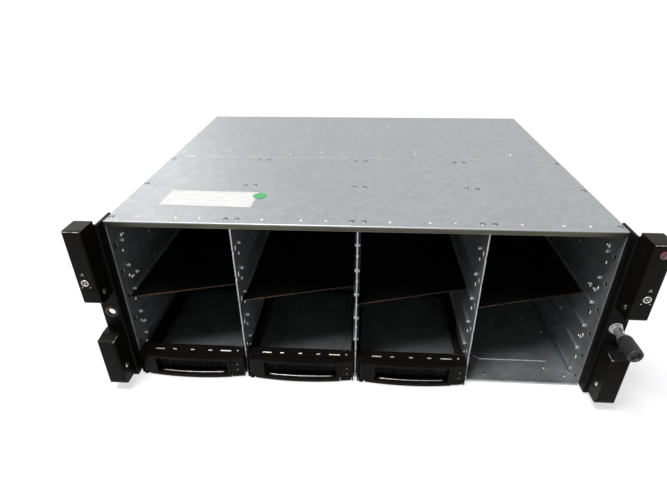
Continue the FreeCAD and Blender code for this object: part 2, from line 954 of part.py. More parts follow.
def make_carrier_frame():
    """Bezel wall, top flange, lamp block, hinge ears and rails, moulded in one."""
    rail = make_rail()
    flange_low = bezel_top - top_flange_sheet
    pieces = [
        block(-bezel_half, bezel_half, wall_front, wall_back, bezel_bottom, bezel_top),
        block(-bezel_half, bezel_half, wall_front, top_flange_depth, flange_low, bezel_top),
        bowed(-bezel_half, -bezel_half + bezel_post, wall_back, bezel_bottom, bezel_top),
        bowed(block_left, bezel_half, wall_back, bezel_bottom + block_rise, bezel_top),
        bowed(bezel_half - bezel_post, bezel_half, wall_back, bezel_bottom, bezel_top),
        block(-rail_outer, rail_outer, carrier_length - crossbar_length, carrier_length, rail_bottom,
              rail_bottom + crossbar_sheet),
        rail,
        mirrored(rail),
    ]
    for low in (bezel_bottom, bezel_top - hinge_ear_sheet):
        pieces.append(faceted(pin_sides, hinge_ear_radius, Vector(hinge_x, -hinge_front, low),
                              Vector(0, 0, hinge_ear_sheet)))
        pieces.append(block(hinge_x - hinge_ear_radius, hinge_x + hinge_ear_radius, -hinge_front, wall_back,
                            low, low + hinge_ear_sheet))
    frame = join(pieces)
    start = Vector(hinge_x, -hinge_front, bezel_bottom - over)
    cuts = [faceted(pin_sides, bore_corner(pin_sides, trunnion_radius), start,
                    Vector(0, 0, bezel_height + 2 * over))]
    half = wall_slot_width / 2
    for i in range(wall_slots):
        x = (i - (wall_slots - 1) / 2) * wall_slot_pitch
        cuts.append(block(x - half, x + half, wall_front - over, wall_back + over,
                          wall_slot_rise, wall_slot_rise + wall_slot_height))
    for centre, width in contact_windows:
        cuts.append(block(centre - width / 2, centre + width / 2, strip_front + move_gap,
                          strip_front + strip_width - move_gap, flange_low - over, bezel_top + over))
    sweep = hook_reach + hook_half_width + move_gap
    hook_side = hinge_x + sweep * math.sin(math.radians(hook_clear_angle)) + hook_half_width
    cuts.append(block(-runner_tip - over, hook_side, wall_front - over, -hinge_front + sweep,
                      hook_low - move_gap, hook_low + hook_sheet + move_gap))
    for z in pipe_heights:
        cuts.append(faceted(8, pipe_radius, Vector(pipe_x, bow(block_left) - over, z),
                            Vector(0, wall_back - bow(block_left) + 2 * over, 0)))
    return frame.cut(cuts)


def make_carrier_lever():
    """Swing handle: a bowed frame on a barrel with trunnions, and the hook behind it."""
    ear_clear = hinge_x + hinge_ear_radius + 2 * move_gap
    root_low = bezel_bottom + hinge_ear_sheet + move_gap
    root_high = bezel_top - hinge_ear_sheet - move_gap
    root = bowed(hinge_x, ear_clear + over, lever_back, root_low, root_high)
    plate = bowed(ear_clear, lever_right, lever_back, lever_low, lever_high)
    window = block(-bezel_half + lever_post + bezel_gap, lever_right - lever_end_bar, bow(0) - over, 0,
                   lever_low + lever_bar_low, lever_high - lever_bar_high)
    plate = plate.cut(window)
    barrel = faceted(pin_sides, barrel_radius, Vector(hinge_x, -hinge_front, root_low),
                     Vector(0, 0, root_high - root_low))
    pin = faceted(pin_sides, trunnion_radius, Vector(hinge_x, -hinge_front, bezel_bottom),
                  Vector(0, 0, bezel_height))
    inner_x = hinge_x + hook_half_width
    outer_x = hinge_x - barrel_radius
    tip_x = -runner_tip + hook_tip_gap
    tip_y = -hinge_front + hook_reach
    points = [
        Vector(inner_x, -hinge_front, hook_low),
        Vector(inner_x, tip_y - hook_nose, hook_low),
        Vector(hinge_x, tip_y, hook_low),
        Vector(tip_x, tip_y - hook_nose, hook_low),
        Vector(tip_x, tip_y - 2 * hook_nose, hook_low),
        Vector(outer_x, tip_y - hook_neck, hook_low),
        Vector(outer_x, -hinge_front, hook_low),
    ]
    hook = prism(points, Vector(0, 0, hook_sheet))
    return join([plate, root, barrel, pin, hook])


def make_carrier_catch():
    """Release catch under the lamp block, pressed straight in."""
    low = bezel_bottom + lever_edge_gap
    y_back = wall_front - catch_travel - catch_gap
    catch = bowed(block_left, bezel_half - bezel_post - move_gap, y_back, low, low + catch_height, catch_inset)
    rim = edges_along(catch, 2, lambda p: p.y < y_back - 0.1)
    return catch.makeChamfer(catch_bevel, rim)


def make_light_pipes():
    """Two clear pins in the lamp block."""
    start = bow(pipe_x) - pipe_proud
    pipes = []
    for z in pipe_heights:
        pipes.append(faceted(8, pipe_radius, Vector(pipe_x, start, z), Vector(0, wall_back - start, 0)))
    return Part.makeCompound(pipes)


def make_contact_strip():
    """Springy earthing strip under the top flange, its fingers standing through the windows."""
    under = bezel_top - top_flange_sheet
    first = contact_windows[0]
    last = contact_windows[-1]
    pieces = [block(first[0] - first[1] / 2 - strip_end, last[0] + last[1] / 2 + strip_end,
                    strip_front, strip_front + strip_width, under - strip_sheet, under)]
    middle = strip_front + strip_width / 2
    side = finger_width / 2
    rise = bezel_top + finger_rise
    for centre, width in contact_windows:
        left = centre - width / 2 + move_gap
        points = [
            Vector(left, middle - side, under),
            Vector(left, middle - side, rise - finger_bevel),
            Vector(left, middle - side + finger_bevel, rise),
            Vector(left, middle + side - finger_bevel, rise),
            Vector(left, middle + side, rise - finger_bevel),
            Vector(left, middle + side, under),
        ]
        pieces.append(prism(points, Vector(width - 2 * move_gap, 0, 0)))
    return join(pieces)


# ---- rear modules -----------------------------------------------------------------------------

power_centre = (side_left + side_right) / 2
power_half = (side_right - side_left) / 2 - module_gap
power_low = floor_sheet + foot_flange + module_gap
power_high = side_shelf - partition_sheet / 2 - module_gap
fan_height = (power_low + power_high) / 2
plate_face = back + plate_sheet
plate_room = 2 * (power_half - case_sheet) - socket_width - socket_edge_gap
fan_reach = (plate_room - fan_socket_gap - fan_edge_gap) / 2
well_radius = fan_reach - fan_frame_wall
fan_radius = well_radius - fan_tip_gap
fan_side = power_half - case_sheet - fan_edge_gap - fan_reach
socket_side = power_half - case_sheet - socket_edge_gap - socket_width / 2
latch_side = power_half - latch_inset
latch_low = power_high - latch_drop - latch_height / 2


def module_shell(half, low, high):
    """Sheet-metal case of a rear module, with its face plate."""
    case = block(-half, half, module_front, back, low, high)
    case = case.makeChamfer(case_chamfer, edges_along(case, 0, lambda p: p.y < module_front + 0.01))
    inside = block(-half + case_sheet, half - case_sheet, module_front + case_sheet, back,
                   low + case_sheet, high - case_sheet)
    plate = block(-half, half, back, plate_face, low, high)
    return join([case.cut(inside), plate])


def guard_cuts():
    """Radial slots of the finger guard, with bars of one width between them."""
    near = hub_radius + guard_bar
    far = fan_radius - guard_bar
    half_turn = math.pi / guard_slots
    near_half = near * math.sin(half_turn) - guard_bar / 2
    far_half = far * math.sin(half_turn) - guard_bar / 2
    cuts = []
    for i in range(guard_slots):
        points = [
            Vector(near, 0, -near_half),
            Vector(far, 0, -far_half),
            Vector(far, 0, far_half),
            Vector(near, 0, near_half),
        ]
        slot = prism(points, Vector(0, plate_sheet + 2 * over, 0))
        slot.rotate(Vector(0, 0, 0), Vector(0, 1, 0), 360 * i / guard_slots)
        slot.translate(Vector(fan_side, back - over, fan_height))
        cuts.append(slot)
    return cuts


def plate_opening(x, z, width, height, depth):
    """Tool for a rectangular opening in a module's face plate."""
    return block(x - width / 2, x + width / 2, plate_face - depth, plate_face + over,
                 z - height / 2, z + height / 2)


def latch_mount(x, low, height):
    """Post and two lugs on a face plate, for a lever of the given height that starts at low."""
    post = faceted(pin_sides, latch_pin_radius, Vector(x, plate_face + latch_boss, low - lug_height),
                   Vector(0, 0, height + 2 * lug_height))
    half = latch_pin_radius + lug_wall
    far = plate_face + latch_boss + half
    under = block(x - half, x + half, plate_face, far, low - lug_height, low - move_gap)
    above = block(x - half, x + half, plate_face, far, low + height + move_gap, low + height + lug_height)
    return [post, under, above]


def make_power_case():
    """Power module: case open to the midplane, square fan frame with its spider, guard, openings."""
    case = module_shell(power_half, power_low, power_high)
    inlet = block(inlet_bar / 2, inlet_bar / 2 + inlet_width,
                  module_front - over, module_front + case_sheet + over,
                  fan_height - inlet_height / 2, fan_height + inlet_height / 2)
    case = case.cut([inlet, mirrored(inlet)])
    axis = Vector(0, 1, 0)
    well_start = Vector(fan_side, back - fan_well, fan_height)
    frame = block(fan_side - fan_reach, fan_side + fan_reach, back - fan_well, back,
                  fan_height - fan_reach, fan_height + fan_reach)
    frame = frame.cut(faceted(more_sides, well_radius, well_start, axis * fan_well))
    pieces = [case, frame]
    for turn in (90, 210, 330):
        arm = block(0, well_radius + fan_frame_wall / 2, 0, spider_sheet, -spider_half, spider_half)
        arm.rotate(Vector(0, 0, 0), axis, turn)
        arm.translate(well_start)
        pieces.append(arm)
    cuts = guard_cuts()
    cuts.append(plate_opening(-socket_side, power_low + socket_rise, socket_width, socket_height,
                              socket_depth))
    cuts.append(plate_opening(-socket_side, power_low + rocker_rise, rocker_width, rocker_height,
                              2 * rocker_depth))
    case = join(pieces).cut(cuts)
    stator = faceted(pin_sides, stator_radius, well_start, axis * (fan_well - stator_gap))
    return join([case, stator] + latch_mount(-latch_side, latch_low, latch_height))


def make_fan_rotor():
    """Hub cup on the stator pin, with cambered blades set at an angle."""
    start = back - fan_well + spider_sheet + fan_end_gap
    axis = Vector(0, 1, 0)
    half = blade_chord / 2
    root = hub_radius - hub_overlap
    points = [
        Vector(-half, 0, root),
        Vector(0, blade_camber, root),
        Vector(half, 0, root),
        Vector(half, -blade_sheet, root),
        Vector(0, blade_camber - blade_sheet, root),
        Vector(-half, -blade_sheet, root),
    ]
    pieces = [faceted(2 * fan_blades, hub_radius, Vector(0, start, 0), Vector(0, hub_length, 0))]
    for i in range(fan_blades):
        blade = prism(points, Vector(0, 0, fan_radius - root))
        blade.rotate(Vector(0, 0, 0), Vector(0, 0, 1), blade_turn)
        blade.translate(Vector(0, start + hub_length / 2, 0))
        blade.rotate(Vector(0, 0, 0), axis, 360 * i / fan_blades)
        pieces.append(blade)
    bore = faceted(pin_sides, bore_corner(pin_sides, stator_radius), Vector(0, start - over, 0),
                   axis * (hub_length + 2 * over))
    rotor = join(pieces).cut(bore)
    rotor.translate(Vector(fan_side, 0, fan_height))
    return rotor


def make_power_inlet():
    """Appliance inlet: a shell with three blades, the middle one higher."""
    x = -socket_side
    z = power_low + socket_rise
    y0 = plate_face - socket_depth
    pin_start = y0 + socket_wall
    low = z - socket_height / 2
    shell = block(x - socket_width / 2, x + socket_width / 2, y0, plate_face, low, low + socket_height)
    hollow = plate_opening(x, z, socket_width - 2 * socket_wall, socket_height - 2 * socket_wall,
                           socket_depth - socket_wall)
    pieces = [shell.cut(hollow)]
    for i, rise in ((-1, -socket_pin_stagger), (0, socket_pin_stagger), (1, -socket_pin_stagger)):
        left = x + i * socket_pin_pitch - socket_pin_width / 2
        foot = z + rise - socket_pin_height / 2
        pieces.append(block(left, left + socket_pin_width, pin_start, pin_start + socket_pin_length,
                            foot, foot + socket_pin_height))
    return join(pieces)


def make_rocker():
    """Rocker key with two shallow faces, resting on its lower side."""
    half = rocker_height / 2 - rocker_end_gap
    foot = half - rocker_end_gap
    left = -rocker_width / 2 + rocker_gap
    points = [
        Vector(left, -rocker_back, -foot),
        Vector(left, rocker_depth / 2, -half),
        Vector(left, rocker_depth / 5, 0),
        Vector(left, rocker_depth / 2, half),
        Vector(left, -rocker_back, foot),
    ]
    key = prism(points, Vector(rocker_width - 2 * rocker_gap, 0, 0))
    key.rotate(Vector(0, 0, 0), Vector(1, 0, 0), -rocker_tilt)
    key.translate(Vector(-socket_side, plate_face - rocker_sink, power_low + rocker_rise))
    return key


def make_power_latch():
    """Latch lever folded against the plate, on a post near the plate's edge, with a thumb tab."""
    y0 = plate_face + latch_boss - latch_sheet / 2
    far = -latch_side + latch_length
    top = latch_low + latch_height
    arm = block(-latch_side, far, y0, y0 + latch_sheet, latch_low, top)
    tab = block(far - latch_sheet, far, y0 + latch_sheet, y0 + latch_tab, latch_low, top)
    up = Vector(0, 0, 1)
    pivot = Vector(-latch_side, plate_face + latch_boss, latch_low)
    eye = faceted(pin_sides, latch_pin_radius + latch_pin_wall, pivot, up * latch_height)
    bore = faceted(pin_sides, bore_corner(pin_sides, latch_pin_radius), pivot - up * over,
                   up * (latch_height + 2 * over))
    return join([arm, tab, eye]).cut(bore)


io_low = floor_sheet + module_gap
io_height = slot_height - partition_sheet / 2 - 2 * module_gap
io_lift = middle_high + partition_sheet / 2 - floor_sheet
io_half = middle_half - module_gap
ejector_low = io_low + io_height / 2 - ejector_height / 2


def port_places():
    return [-port_first + i * port_pitch for i in range(port_count)]


def make_io_case():
    """Interface module: closed case, face plate, port openings and vents."""
    case = module_shell(io_half, io_low, io_low + io_height)
    cuts = [plate_opening(x, io_low + port_rise, port_width, port_height, port_depth) for x in port_places()]
    vent_left = port_places()[-1] + port_width
    vent_right = ejector_side - ejector_length - move_gap
    cuts += vent_cuts(vent_left, vent_right, io_low + io_height / 2, io_height / 2,
                      back - over, plate_face + over)
    return join([case.cut(cuts)] + latch_mount(ejector_side, ejector_low, ejector_height))


def make_io_ports():
    """Metal cages in the port openings."""
    cages = []
    for x in port_places():
        z = io_low + port_rise
        y0 = plate_face - port_depth
        low = z - port_height / 2
        shell = block(x - port_width / 2, x + port_width / 2, y0, plate_face + port_proud,
                      low, low + port_height)
        hollow = plate_opening(x, z, port_width - 2 * port_wall, port_height - 2 * port_wall,
                               port_depth - port_wall)
        cages.append(shell.cut(hollow))
    return Part.makeCompound(cages)


def make_io_ejector():
    """Long ejector lever folded against the face plate."""
    far = ejector_side - ejector_length
    y0 = plate_face + latch_boss - latch_sheet / 2
    arm = block(far, ejector_side, y0, y0 + latch_sheet, ejector_low, ejector_low + ejector_height)
    arm = arm.makeChamfer(ejector_bevel, edges_along(arm, 2, lambda p: p.x < far + 0.01))
    up = Vector(0, 0, 1)
    pivot = Vector(ejector_side, plate_face + latch_boss, ejector_low)
    eye = faceted(pin_sides, latch_pin_radius + latch_pin_wall, pivot, up * ejector_height)
    bore = faceted(pin_sides, bore_corner(pin_sides, latch_pin_radius), pivot - up * over,
                   up * (ejector_height + 2 * over))
    return join([arm, eye]).cut(bore)


# ---- assembly ---------------------------------------------------------------------------------

def placed(shape, x, y, z):
    copy = shape.copy()
    copy.translate(Vector(x, y, z))
    return copy


nodes = {}
nodes["chassis_floor"] = make_floor()
nodes["side_wall_left"] = make_side_wall()
nodes["side_wall_right"] = mirrored(nodes["side_wall_left"])
nodes["top_cover_front"] = make_front_cover()
nodes["top_cover_rear"] = make_rear_cover()
for i, place in enumerate(divider_places):
    nodes["divider_%d" % (i + 1)] = make_divider(place)
nodes["mid_shelves"] = make_mid_shelves()
nodes["cover_rivets"] = make_cover_rivets()
nodes["midplane_board"] = make_midplane()
nodes["drive_connectors"] = make_drive_connectors()
nodes["midplane_brackets"] = make_midplane_brackets()
nodes["rear_partitions"] = make_rear_partitions()
nodes["rear_shelves"] = make_rear_shelves()
nodes["blank_panels"] = make_blank_panels()

rack_hole = turned(rack_hole_radius, ear_face - over, ear_back + over)
nodes["ear_bracket_left"] = mirrored(make_ear_bracket(rack_hole))
nodes["ear_bracket_right"] = make_ear_bracket(bush_sleeve())
nodes["ear_cap_upper_left"] = mirrored(make_upper_cap(False))
nodes["ear_cap_upper_right"] = make_upper_cap(True)
nodes["ear_cap_lower_right"] = make_lower_cap()
nodes["ear_cap_lower_left"] = mirrored(nodes["ear_cap_lower_right"])
nodes["status_rings"] = make_status_rings()
nodes["ear_cap_screws"] = make_cap_screws()
nodes["alarm_button"] = make_alarm_button()
nodes["thumbscrew_bush"] = make_thumbscrew_bush()
nodes["thumbscrew_ring"] = make_retaining_ring()
nodes["thumbscrew"] = make_thumbscrew()

carrier_pieces = {
    "frame": make_carrier_frame(),
    "lever": make_carrier_lever(),
    "catch": make_carrier_catch(),
    "light_pipes": make_light_pipes(),
    "contact_strip": make_contact_strip(),
}
for i in range(carriers):
    for name, shape in carrier_pieces.items():
        nodes["carrier_%s_%d" % (name, i + 1)] = placed(shape, bay_centres[i], front, row_base)

power_pieces = {
    "case": make_power_case(),
    "rotor": make_fan_rotor(),
    "inlet": make_power_inlet(),
    "rocker": make_rocker(),
    "latch": make_power_latch(),
}
for name, shape in power_pieces.items():
    nodes["power_%s_left" % name] = placed(shape, power_centre, 0, 0)
    nodes["power_%s_right" % name] = placed(shape, -power_centre, 0, 0)

io_pieces = {
    "case": make_io_case(),
    "ports": make_io_ports(),
    "ejector": make_io_ejector(),
}
for name, shape in io_pieces.items():
    nodes["interface_%s_lower" % name] = placed(shape, 0, 0, 0)
    nodes["interface_%s_upper" % name] = placed(shape, 0, 0, io_lift)

os.makedirs("parts", exist_ok=True)
for name, shape in nodes.items():
    shape.exportStep("parts/%s.step" % name)
print(len(nodes), "nodes")
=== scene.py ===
"""Looks of a rack-mounted disk shelf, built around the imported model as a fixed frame.

Every piece is in metres in the model's own frame: +X right, +Z up, the drive bays open towards -Y.
"""

import json
import math

import bmesh
import bpy
import numpy as np
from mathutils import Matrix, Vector

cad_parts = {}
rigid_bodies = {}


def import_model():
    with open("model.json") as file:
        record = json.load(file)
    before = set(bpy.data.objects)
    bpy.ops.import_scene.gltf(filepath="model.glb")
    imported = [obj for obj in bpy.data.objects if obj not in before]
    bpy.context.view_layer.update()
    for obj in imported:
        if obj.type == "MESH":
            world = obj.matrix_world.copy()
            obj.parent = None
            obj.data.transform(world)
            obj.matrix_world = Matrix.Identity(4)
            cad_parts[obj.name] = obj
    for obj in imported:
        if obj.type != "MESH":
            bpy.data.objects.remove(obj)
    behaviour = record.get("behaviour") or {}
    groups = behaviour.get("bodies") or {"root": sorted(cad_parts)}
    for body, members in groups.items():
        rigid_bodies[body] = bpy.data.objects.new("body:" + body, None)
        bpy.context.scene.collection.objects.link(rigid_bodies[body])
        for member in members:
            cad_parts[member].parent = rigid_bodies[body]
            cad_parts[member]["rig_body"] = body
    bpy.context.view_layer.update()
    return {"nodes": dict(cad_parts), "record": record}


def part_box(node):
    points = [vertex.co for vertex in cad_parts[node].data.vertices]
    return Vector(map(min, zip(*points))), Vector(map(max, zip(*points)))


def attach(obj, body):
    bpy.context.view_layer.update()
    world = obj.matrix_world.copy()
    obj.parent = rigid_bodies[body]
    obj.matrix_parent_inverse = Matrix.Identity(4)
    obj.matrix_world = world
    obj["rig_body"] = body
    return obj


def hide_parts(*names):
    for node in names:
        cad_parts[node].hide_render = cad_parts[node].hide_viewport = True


bl_info = {
    "name": "Disk shelf looks",
    "version": (1, 0, 0),
    "blender": (4, 5, 0),
    "location": "View3D > Sidebar > Disk shelf",
    "description": "Finishes and small parts of a rack-mounted disk shelf",
    "category": "Object",
}

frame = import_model()
nodes = frame["nodes"]

MM = 0.001


# ---- places read from the frame ----

def node_middle(node, axis):
    """Middle of a node's box along one axis."""
    low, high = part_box(node)
    return (getattr(low, axis) + getattr(high, axis)) / 2


front_cover_low, front_cover_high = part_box("top_cover_front")
cap_low, cap_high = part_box("ear_cap_upper_right")
screw_low, screw_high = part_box("thumbscrew")
button_low, button_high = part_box("alarm_button")
half_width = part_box("top_cover_rear")[1].x
top_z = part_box("top_cover_rear")[1].z
front_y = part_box("side_wall_left")[0].y
seam_y = front_cover_high.y
cap_face = cap_low.y
lower_cap_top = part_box("ear_cap_lower_right")[1].z
ear_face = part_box("ear_bracket_right")[0].y
screw_x = node_middle("thumbscrew", "x")
screw_z = node_middle("thumbscrew", "z")
status_x = node_middle("alarm_button", "x")
ring_z = node_middle("status_rings", "z")
divider_x = [node_middle("divider_%d" % number, "x") for number in (1, 2, 3)]
bay_pitch = divider_x[1] - divider_x[0]
bay_x = [divider_x[0] + (i - 0.5) * bay_pitch for i in range(4)]

wall_sheet = 1.0 * MM
floor_top = 1.2 * MM
divider_sheet = 1.2 * MM
row_pitch = 28 * MM
row_count = 6
bay_half = (bay_pitch - divider_sheet) / 2
dimple_rise = 0.5 * MM
label_turn = math.radians(-1.6)


# ---- what a user would change ----

class ShelfSizes(bpy.types.PropertyGroup):
    """Sizes of the small parts."""

    edge_round: bpy.props.FloatProperty(
        name="Plastic edge", description="Radius on the edges of moulded parts",
        default=0.45 * MM, unit="LENGTH")
    sheet_round: bpy.props.FloatProperty(
        name="Sheet edge", description="Radius on the cut edges of sheet metal",
        default=0.18 * MM, unit="LENGTH")
    rivet_radius: bpy.props.FloatProperty(
        name="Rivet head", description="Radius of a rivet head in the cover",
        default=2.7 * MM, unit="LENGTH")
    dimple_radius: bpy.props.FloatProperty(
        name="Dimple", description="Radius of a pressed dimple in the sheets",
        default=1.7 * MM, unit="LENGTH")
    label_length: bpy.props.FloatProperty(
        name="Label length", description="Length of the paper label on the cover",
        default=89 * MM, unit="LENGTH")
    label_width: bpy.props.FloatProperty(
        name="Label width", description="Width of the paper label on the cover",
        default=36 * MM, unit="LENGTH")
    dot_radius: bpy.props.FloatProperty(
        name="Round sticker", description="Radius of the round sticker beside the label",
        default=6.6 * MM, unit="LENGTH")
    spangle: bpy.props.FloatProperty(
        name="Spangle", description="Size of the zinc crystals on the steel",
        default=5 * MM, unit="LENGTH")


class ShelfColours(bpy.types.PropertyGroup):
    """Colours of the finishes."""

    steel: bpy.props.FloatVectorProperty(
        name="Zinc", description="Colour of the galvanised sheet", subtype="COLOR", size=4,
        default=(0.40, 0.418, 0.43, 1), min=0, max=1)
    plastic: bpy.props.FloatVectorProperty(
        name="Moulded black", description="Colour of the ear caps and carriers", subtype="COLOR", size=4,
        default=(0.0062, 0.0052, 0.0044, 1), min=0, max=1)
    paint: bpy.props.FloatVectorProperty(
        name="Black paint", description="Colour of the painted ears and shelves", subtype="COLOR", size=4,
        default=(0.0045, 0.0044, 0.0040, 1), min=0, max=1)
    label: bpy.props.FloatVectorProperty(
        name="Label paper", description="Colour of the paper label", subtype="COLOR", size=4,
        default=(0.88, 0.875, 0.865, 1), min=0, max=1)
    sticker: bpy.props.FloatVectorProperty(
        name="Round sticker", description="Colour of the round sticker", subtype="COLOR", size=4,
        default=(0.05, 0.42, 0.13, 1), min=0, max=1)
    button: bpy.props.FloatVectorProperty(
        name="Button", description="Colour of the alarm button's rim", subtype="COLOR", size=4,
        default=(0.32, 0.02, 0.03, 1), min=0, max=1)


def sizes():
    """The sizes a user has set."""
    return bpy.context.scene.shelf_sizes


def colours():
    """The colours a user has set."""
    return bpy.context.scene.shelf_colours


# ---- materials ----

class Recipe:
    """A material's node tree, with short calls to add and join nodes."""

    def __init__(self, name):
        self.material = bpy.data.materials.new(name)
        self.material.use_nodes = True
        self.tree = self.material.node_tree
        self.shader = self.tree.nodes["Principled BSDF"]
        self.coordinates = self.add("ShaderNodeTexCoord")

    def add(self, kind, **values):
        """A new node, with values written on its settings or on its inputs."""
        node = self.tree.nodes.new(kind)
        for key, value in values.items():
            if hasattr(node, key):
                setattr(node, key, value)
            else:
                node.inputs[key.replace("_", " ")].default_value = value
        return node

    def join(self, start, end):
        """Link from an output to an input."""
        self.tree.links.new(start, end)

    def put(self, value, entry):
        """Joins a socket to an input, or writes a plain value on it."""
        if isinstance(value, bpy.types.NodeSocket):
            self.join(value, entry)
        else:
            entry.default_value = value

    def place(self, scale=(1, 1, 1), turn=(0, 0, 0)):
        """Object coordinates, turned and scaled."""
        mapping = self.add("ShaderNodeMapping", Rotation=turn, Scale=scale)
        self.join(self.coordinates.outputs["Object"], mapping.inputs["Vector"])
        return mapping.outputs["Vector"]

    def noise(self, size, detail=4.0, rough=0.55, vector=None):
        """Soft noise whose features are about size millimetres."""
        node = self.add("ShaderNodeTexNoise", Scale=1 / (size * MM), Detail=detail, Roughness=rough)
        self.join(vector or self.coordinates.outputs["Object"], node.inputs["Vector"])
        return node.outputs["Fac"]

    def cells(self, size):
        """Random crystals about size metres across."""
        node = self.add("ShaderNodeTexVoronoi", Scale=1 / size)
        self.join(self.coordinates.outputs["Object"], node.inputs["Vector"])
        return node.outputs["Color"]

    def spread(self, value, low, high, to_low=0, to_high=1):
        """A value stretched from one range to another, and clamped."""
        node = self.add("ShaderNodeMapRange", From_Min=low, From_Max=high, To_Min=to_low, To_Max=to_high)
        self.join(value, node.inputs["Value"])
        return node.outputs["Result"]

    def blend(self, share, first, second):
        """Colour that goes from first to second; each is a colour or a socket."""
        node = self.add("ShaderNodeMix", data_type="RGBA")
        first_input, second_input, colour_output = 6, 7, 2
        self.join(share, node.inputs["Factor"])
        self.put(first, node.inputs[first_input])
        self.put(second, node.inputs[second_input])
        return node.outputs[colour_output]

    def multiply(self, first, second):
        """Product of two sockets."""
        node = self.add("ShaderNodeMath", operation="MULTIPLY")
        self.join(first, node.inputs[0])
        self.join(second, node.inputs[1])
        return node.outputs["Value"]

    def patches(self, under, over, most, low, high, *grain):
        """One colour with up to most of another over it, where a noise goes from low to high."""
        return self.blend(self.spread(self.noise(*grain), low, high, 0, most), under, over)

    def sheen(self, smoothest, roughest, size):
        """Roughness that wanders between two values."""
        return self.spread(self.noise(size), 0.3, 0.7, smoothest, roughest)

    def bump(self, height, depth, under=None):
        """Bump of a height between 0 and 1 that is depth millimetres deep."""
        node = self.add("ShaderNodeBump", Strength=1.0, Distance=depth * MM)
        self.join(height, node.inputs["Height"])
        if under:
            self.join(under, node.inputs["Normal"])
        return node.outputs["Normal"]

    def finish(self, colour=None, rough=None, normal=None, **numbers):
        """Sets the shader: sockets are joined and numbers are written on its own inputs."""
        for key, value in (("Base Color", colour), ("Roughness", rough), ("Normal", normal)):
            if value is not None:
                self.put(value, self.shader.inputs[key])
        for key, value in numbers.items():
            self.shader.inputs[key.replace("_", " ")].default_value = value
        return self.material


def shade(colour, factor):
    """A colour made lighter or darker."""
    return tuple(min(1.0, channel * factor) for channel in colour[:3]) + (1,)


def galvanised_steel():
    """Zinc-coated sheet: small crystals, a faint roll grain, dull smudges and dark specks."""
    r = Recipe("galvanised steel")
    base = tuple(colours().steel)
    crystals = r.cells(sizes().spangle)
    small = r.cells(sizes().spangle * 0.35)
    tone = r.blend(crystals, shade(base, 0.90), shade(base, 1.08))
    tone = r.blend(r.spread(small, 0, 1, 0, 0.35), tone, shade(base, 0.86))
    grain = r.noise(1.2, 3.0, 0.6, r.place(scale=(1, 0.06, 1)))
    tone = r.patches(tone, shade(base, 0.8), 0.22, 0.50, 0.75, 90, 4.0, 0.5)
    tone = r.patches(tone, shade(base, 0.4), 0.55, 0.70, 0.76, 2.4, 2.0, 0.5)
    rough = r.sheen(0.40, 0.50, 18)
    normal = r.bump(small, 0.004)
    normal = r.bump(grain, 0.006, under=normal)
    return r.finish(tone, rough, normal, Metallic=0.88)


def inner_steel():
    """The same sheet inside the bays, duller and darker, with handling marks."""
    r = Recipe("bay steel")
    base = shade(tuple(colours().steel), 1.2)
    crystals = r.cells(sizes().spangle)
    tone = r.blend(crystals, shade(base, 0.86), shade(base, 1.10))
    tone = r.patches(tone, shade(base, 0.55), 0.6, 0.48, 0.70, 35, 5.0, 0.65)
    rough = r.sheen(0.28, 0.42, 12)
    normal = r.bump(r.noise(0.8, 3.0), 0.006)
    return r.finish(tone, rough, normal, Metallic=0.72)


def hem_steel():
    """Folded front edge: steel colour along the bend; the flat below it is painted shade, dark and slightly
    brown as a painted reflection of a brown table.
    """
    r = Recipe("hem steel")
    split = r.add("ShaderNodeSeparateXYZ")
    r.join(r.coordinates.outputs["Object"], split.inputs["Vector"])
    bend = r.spread(split.outputs["Z"], top_z - 1.5 * MM, top_z - 0.5 * MM)
    streak = r.noise(5, 5.0, 0.6, r.place(scale=(0.2, 1, 1)))
    # Painted shade and painted brown reflection on the flat below the bend.
    painted_shade_flat = r.blend(r.spread(streak, 0.3, 0.7), (0.115, 0.105, 0.075, 1), (0.072, 0.066, 0.048, 1))
    tone = r.blend(bend, painted_shade_flat, tuple(colours().steel))
    rough = r.spread(streak, 0.3, 0.7, 0.38, 0.55)
    return r.finish(tone, rough, r.bump(streak, 0.01), Metallic=0.8)


def black_plastic():
    """Moulded black plastic: fine eroded grain, dust that greys it in patches."""
    r = Recipe("moulded black plastic")
    base = tuple(colours().plastic)
    tone = r.patches(base, shade(base, 1.9), 0.5, 0.45, 0.80, 9, 6.0, 0.7)
    tone = r.patches(tone, (0.10, 0.095, 0.09, 1), 0.5, 0.70, 0.76, 0.9, 2.0)
    rough = r.spread(r.noise(14, 5.0), 0.3, 0.75, 0.27, 0.46)
    normal = r.bump(r.noise(0.35, 3.0, 0.6), 0.02)
    return r.finish(tone, rough, normal, Specular_IOR_Level=0.07)


def black_paint():
    """Black powder coat with a fine orange-peel surface."""
    r = Recipe("black powder coat")
    base = tuple(colours().paint)
    tone = r.patches(base, shade(base, 2.2), 0.6, 0.45, 0.75, 16, 6.0, 0.7)
    tone = r.patches(tone, (0.16, 0.16, 0.155, 1), 0.8, 0.72, 0.76, 2.6, 3.0, 0.6, r.place(scale=(1, 1, 0.5)))
    rough = r.sheen(0.34, 0.50, 10)
    normal = r.bump(r.noise(0.9, 2.0, 0.5), 0.03)
    return r.finish(tone, rough, normal, Specular_IOR_Level=0.08)


def knob_plastic():
    """Dull black grip with a dusty bloom."""
    r = Recipe("grip plastic")
    tone = r.patches((0.014, 0.014, 0.0135, 1), (0.045, 0.044, 0.042, 1), 0.8, 0.4, 0.8, 3, 5.0, 0.7)
    rough = r.sheen(0.42, 0.6, 5)
    normal = r.bump(r.noise(0.3, 3.0), 0.03)
    return r.finish(tone, rough, normal)


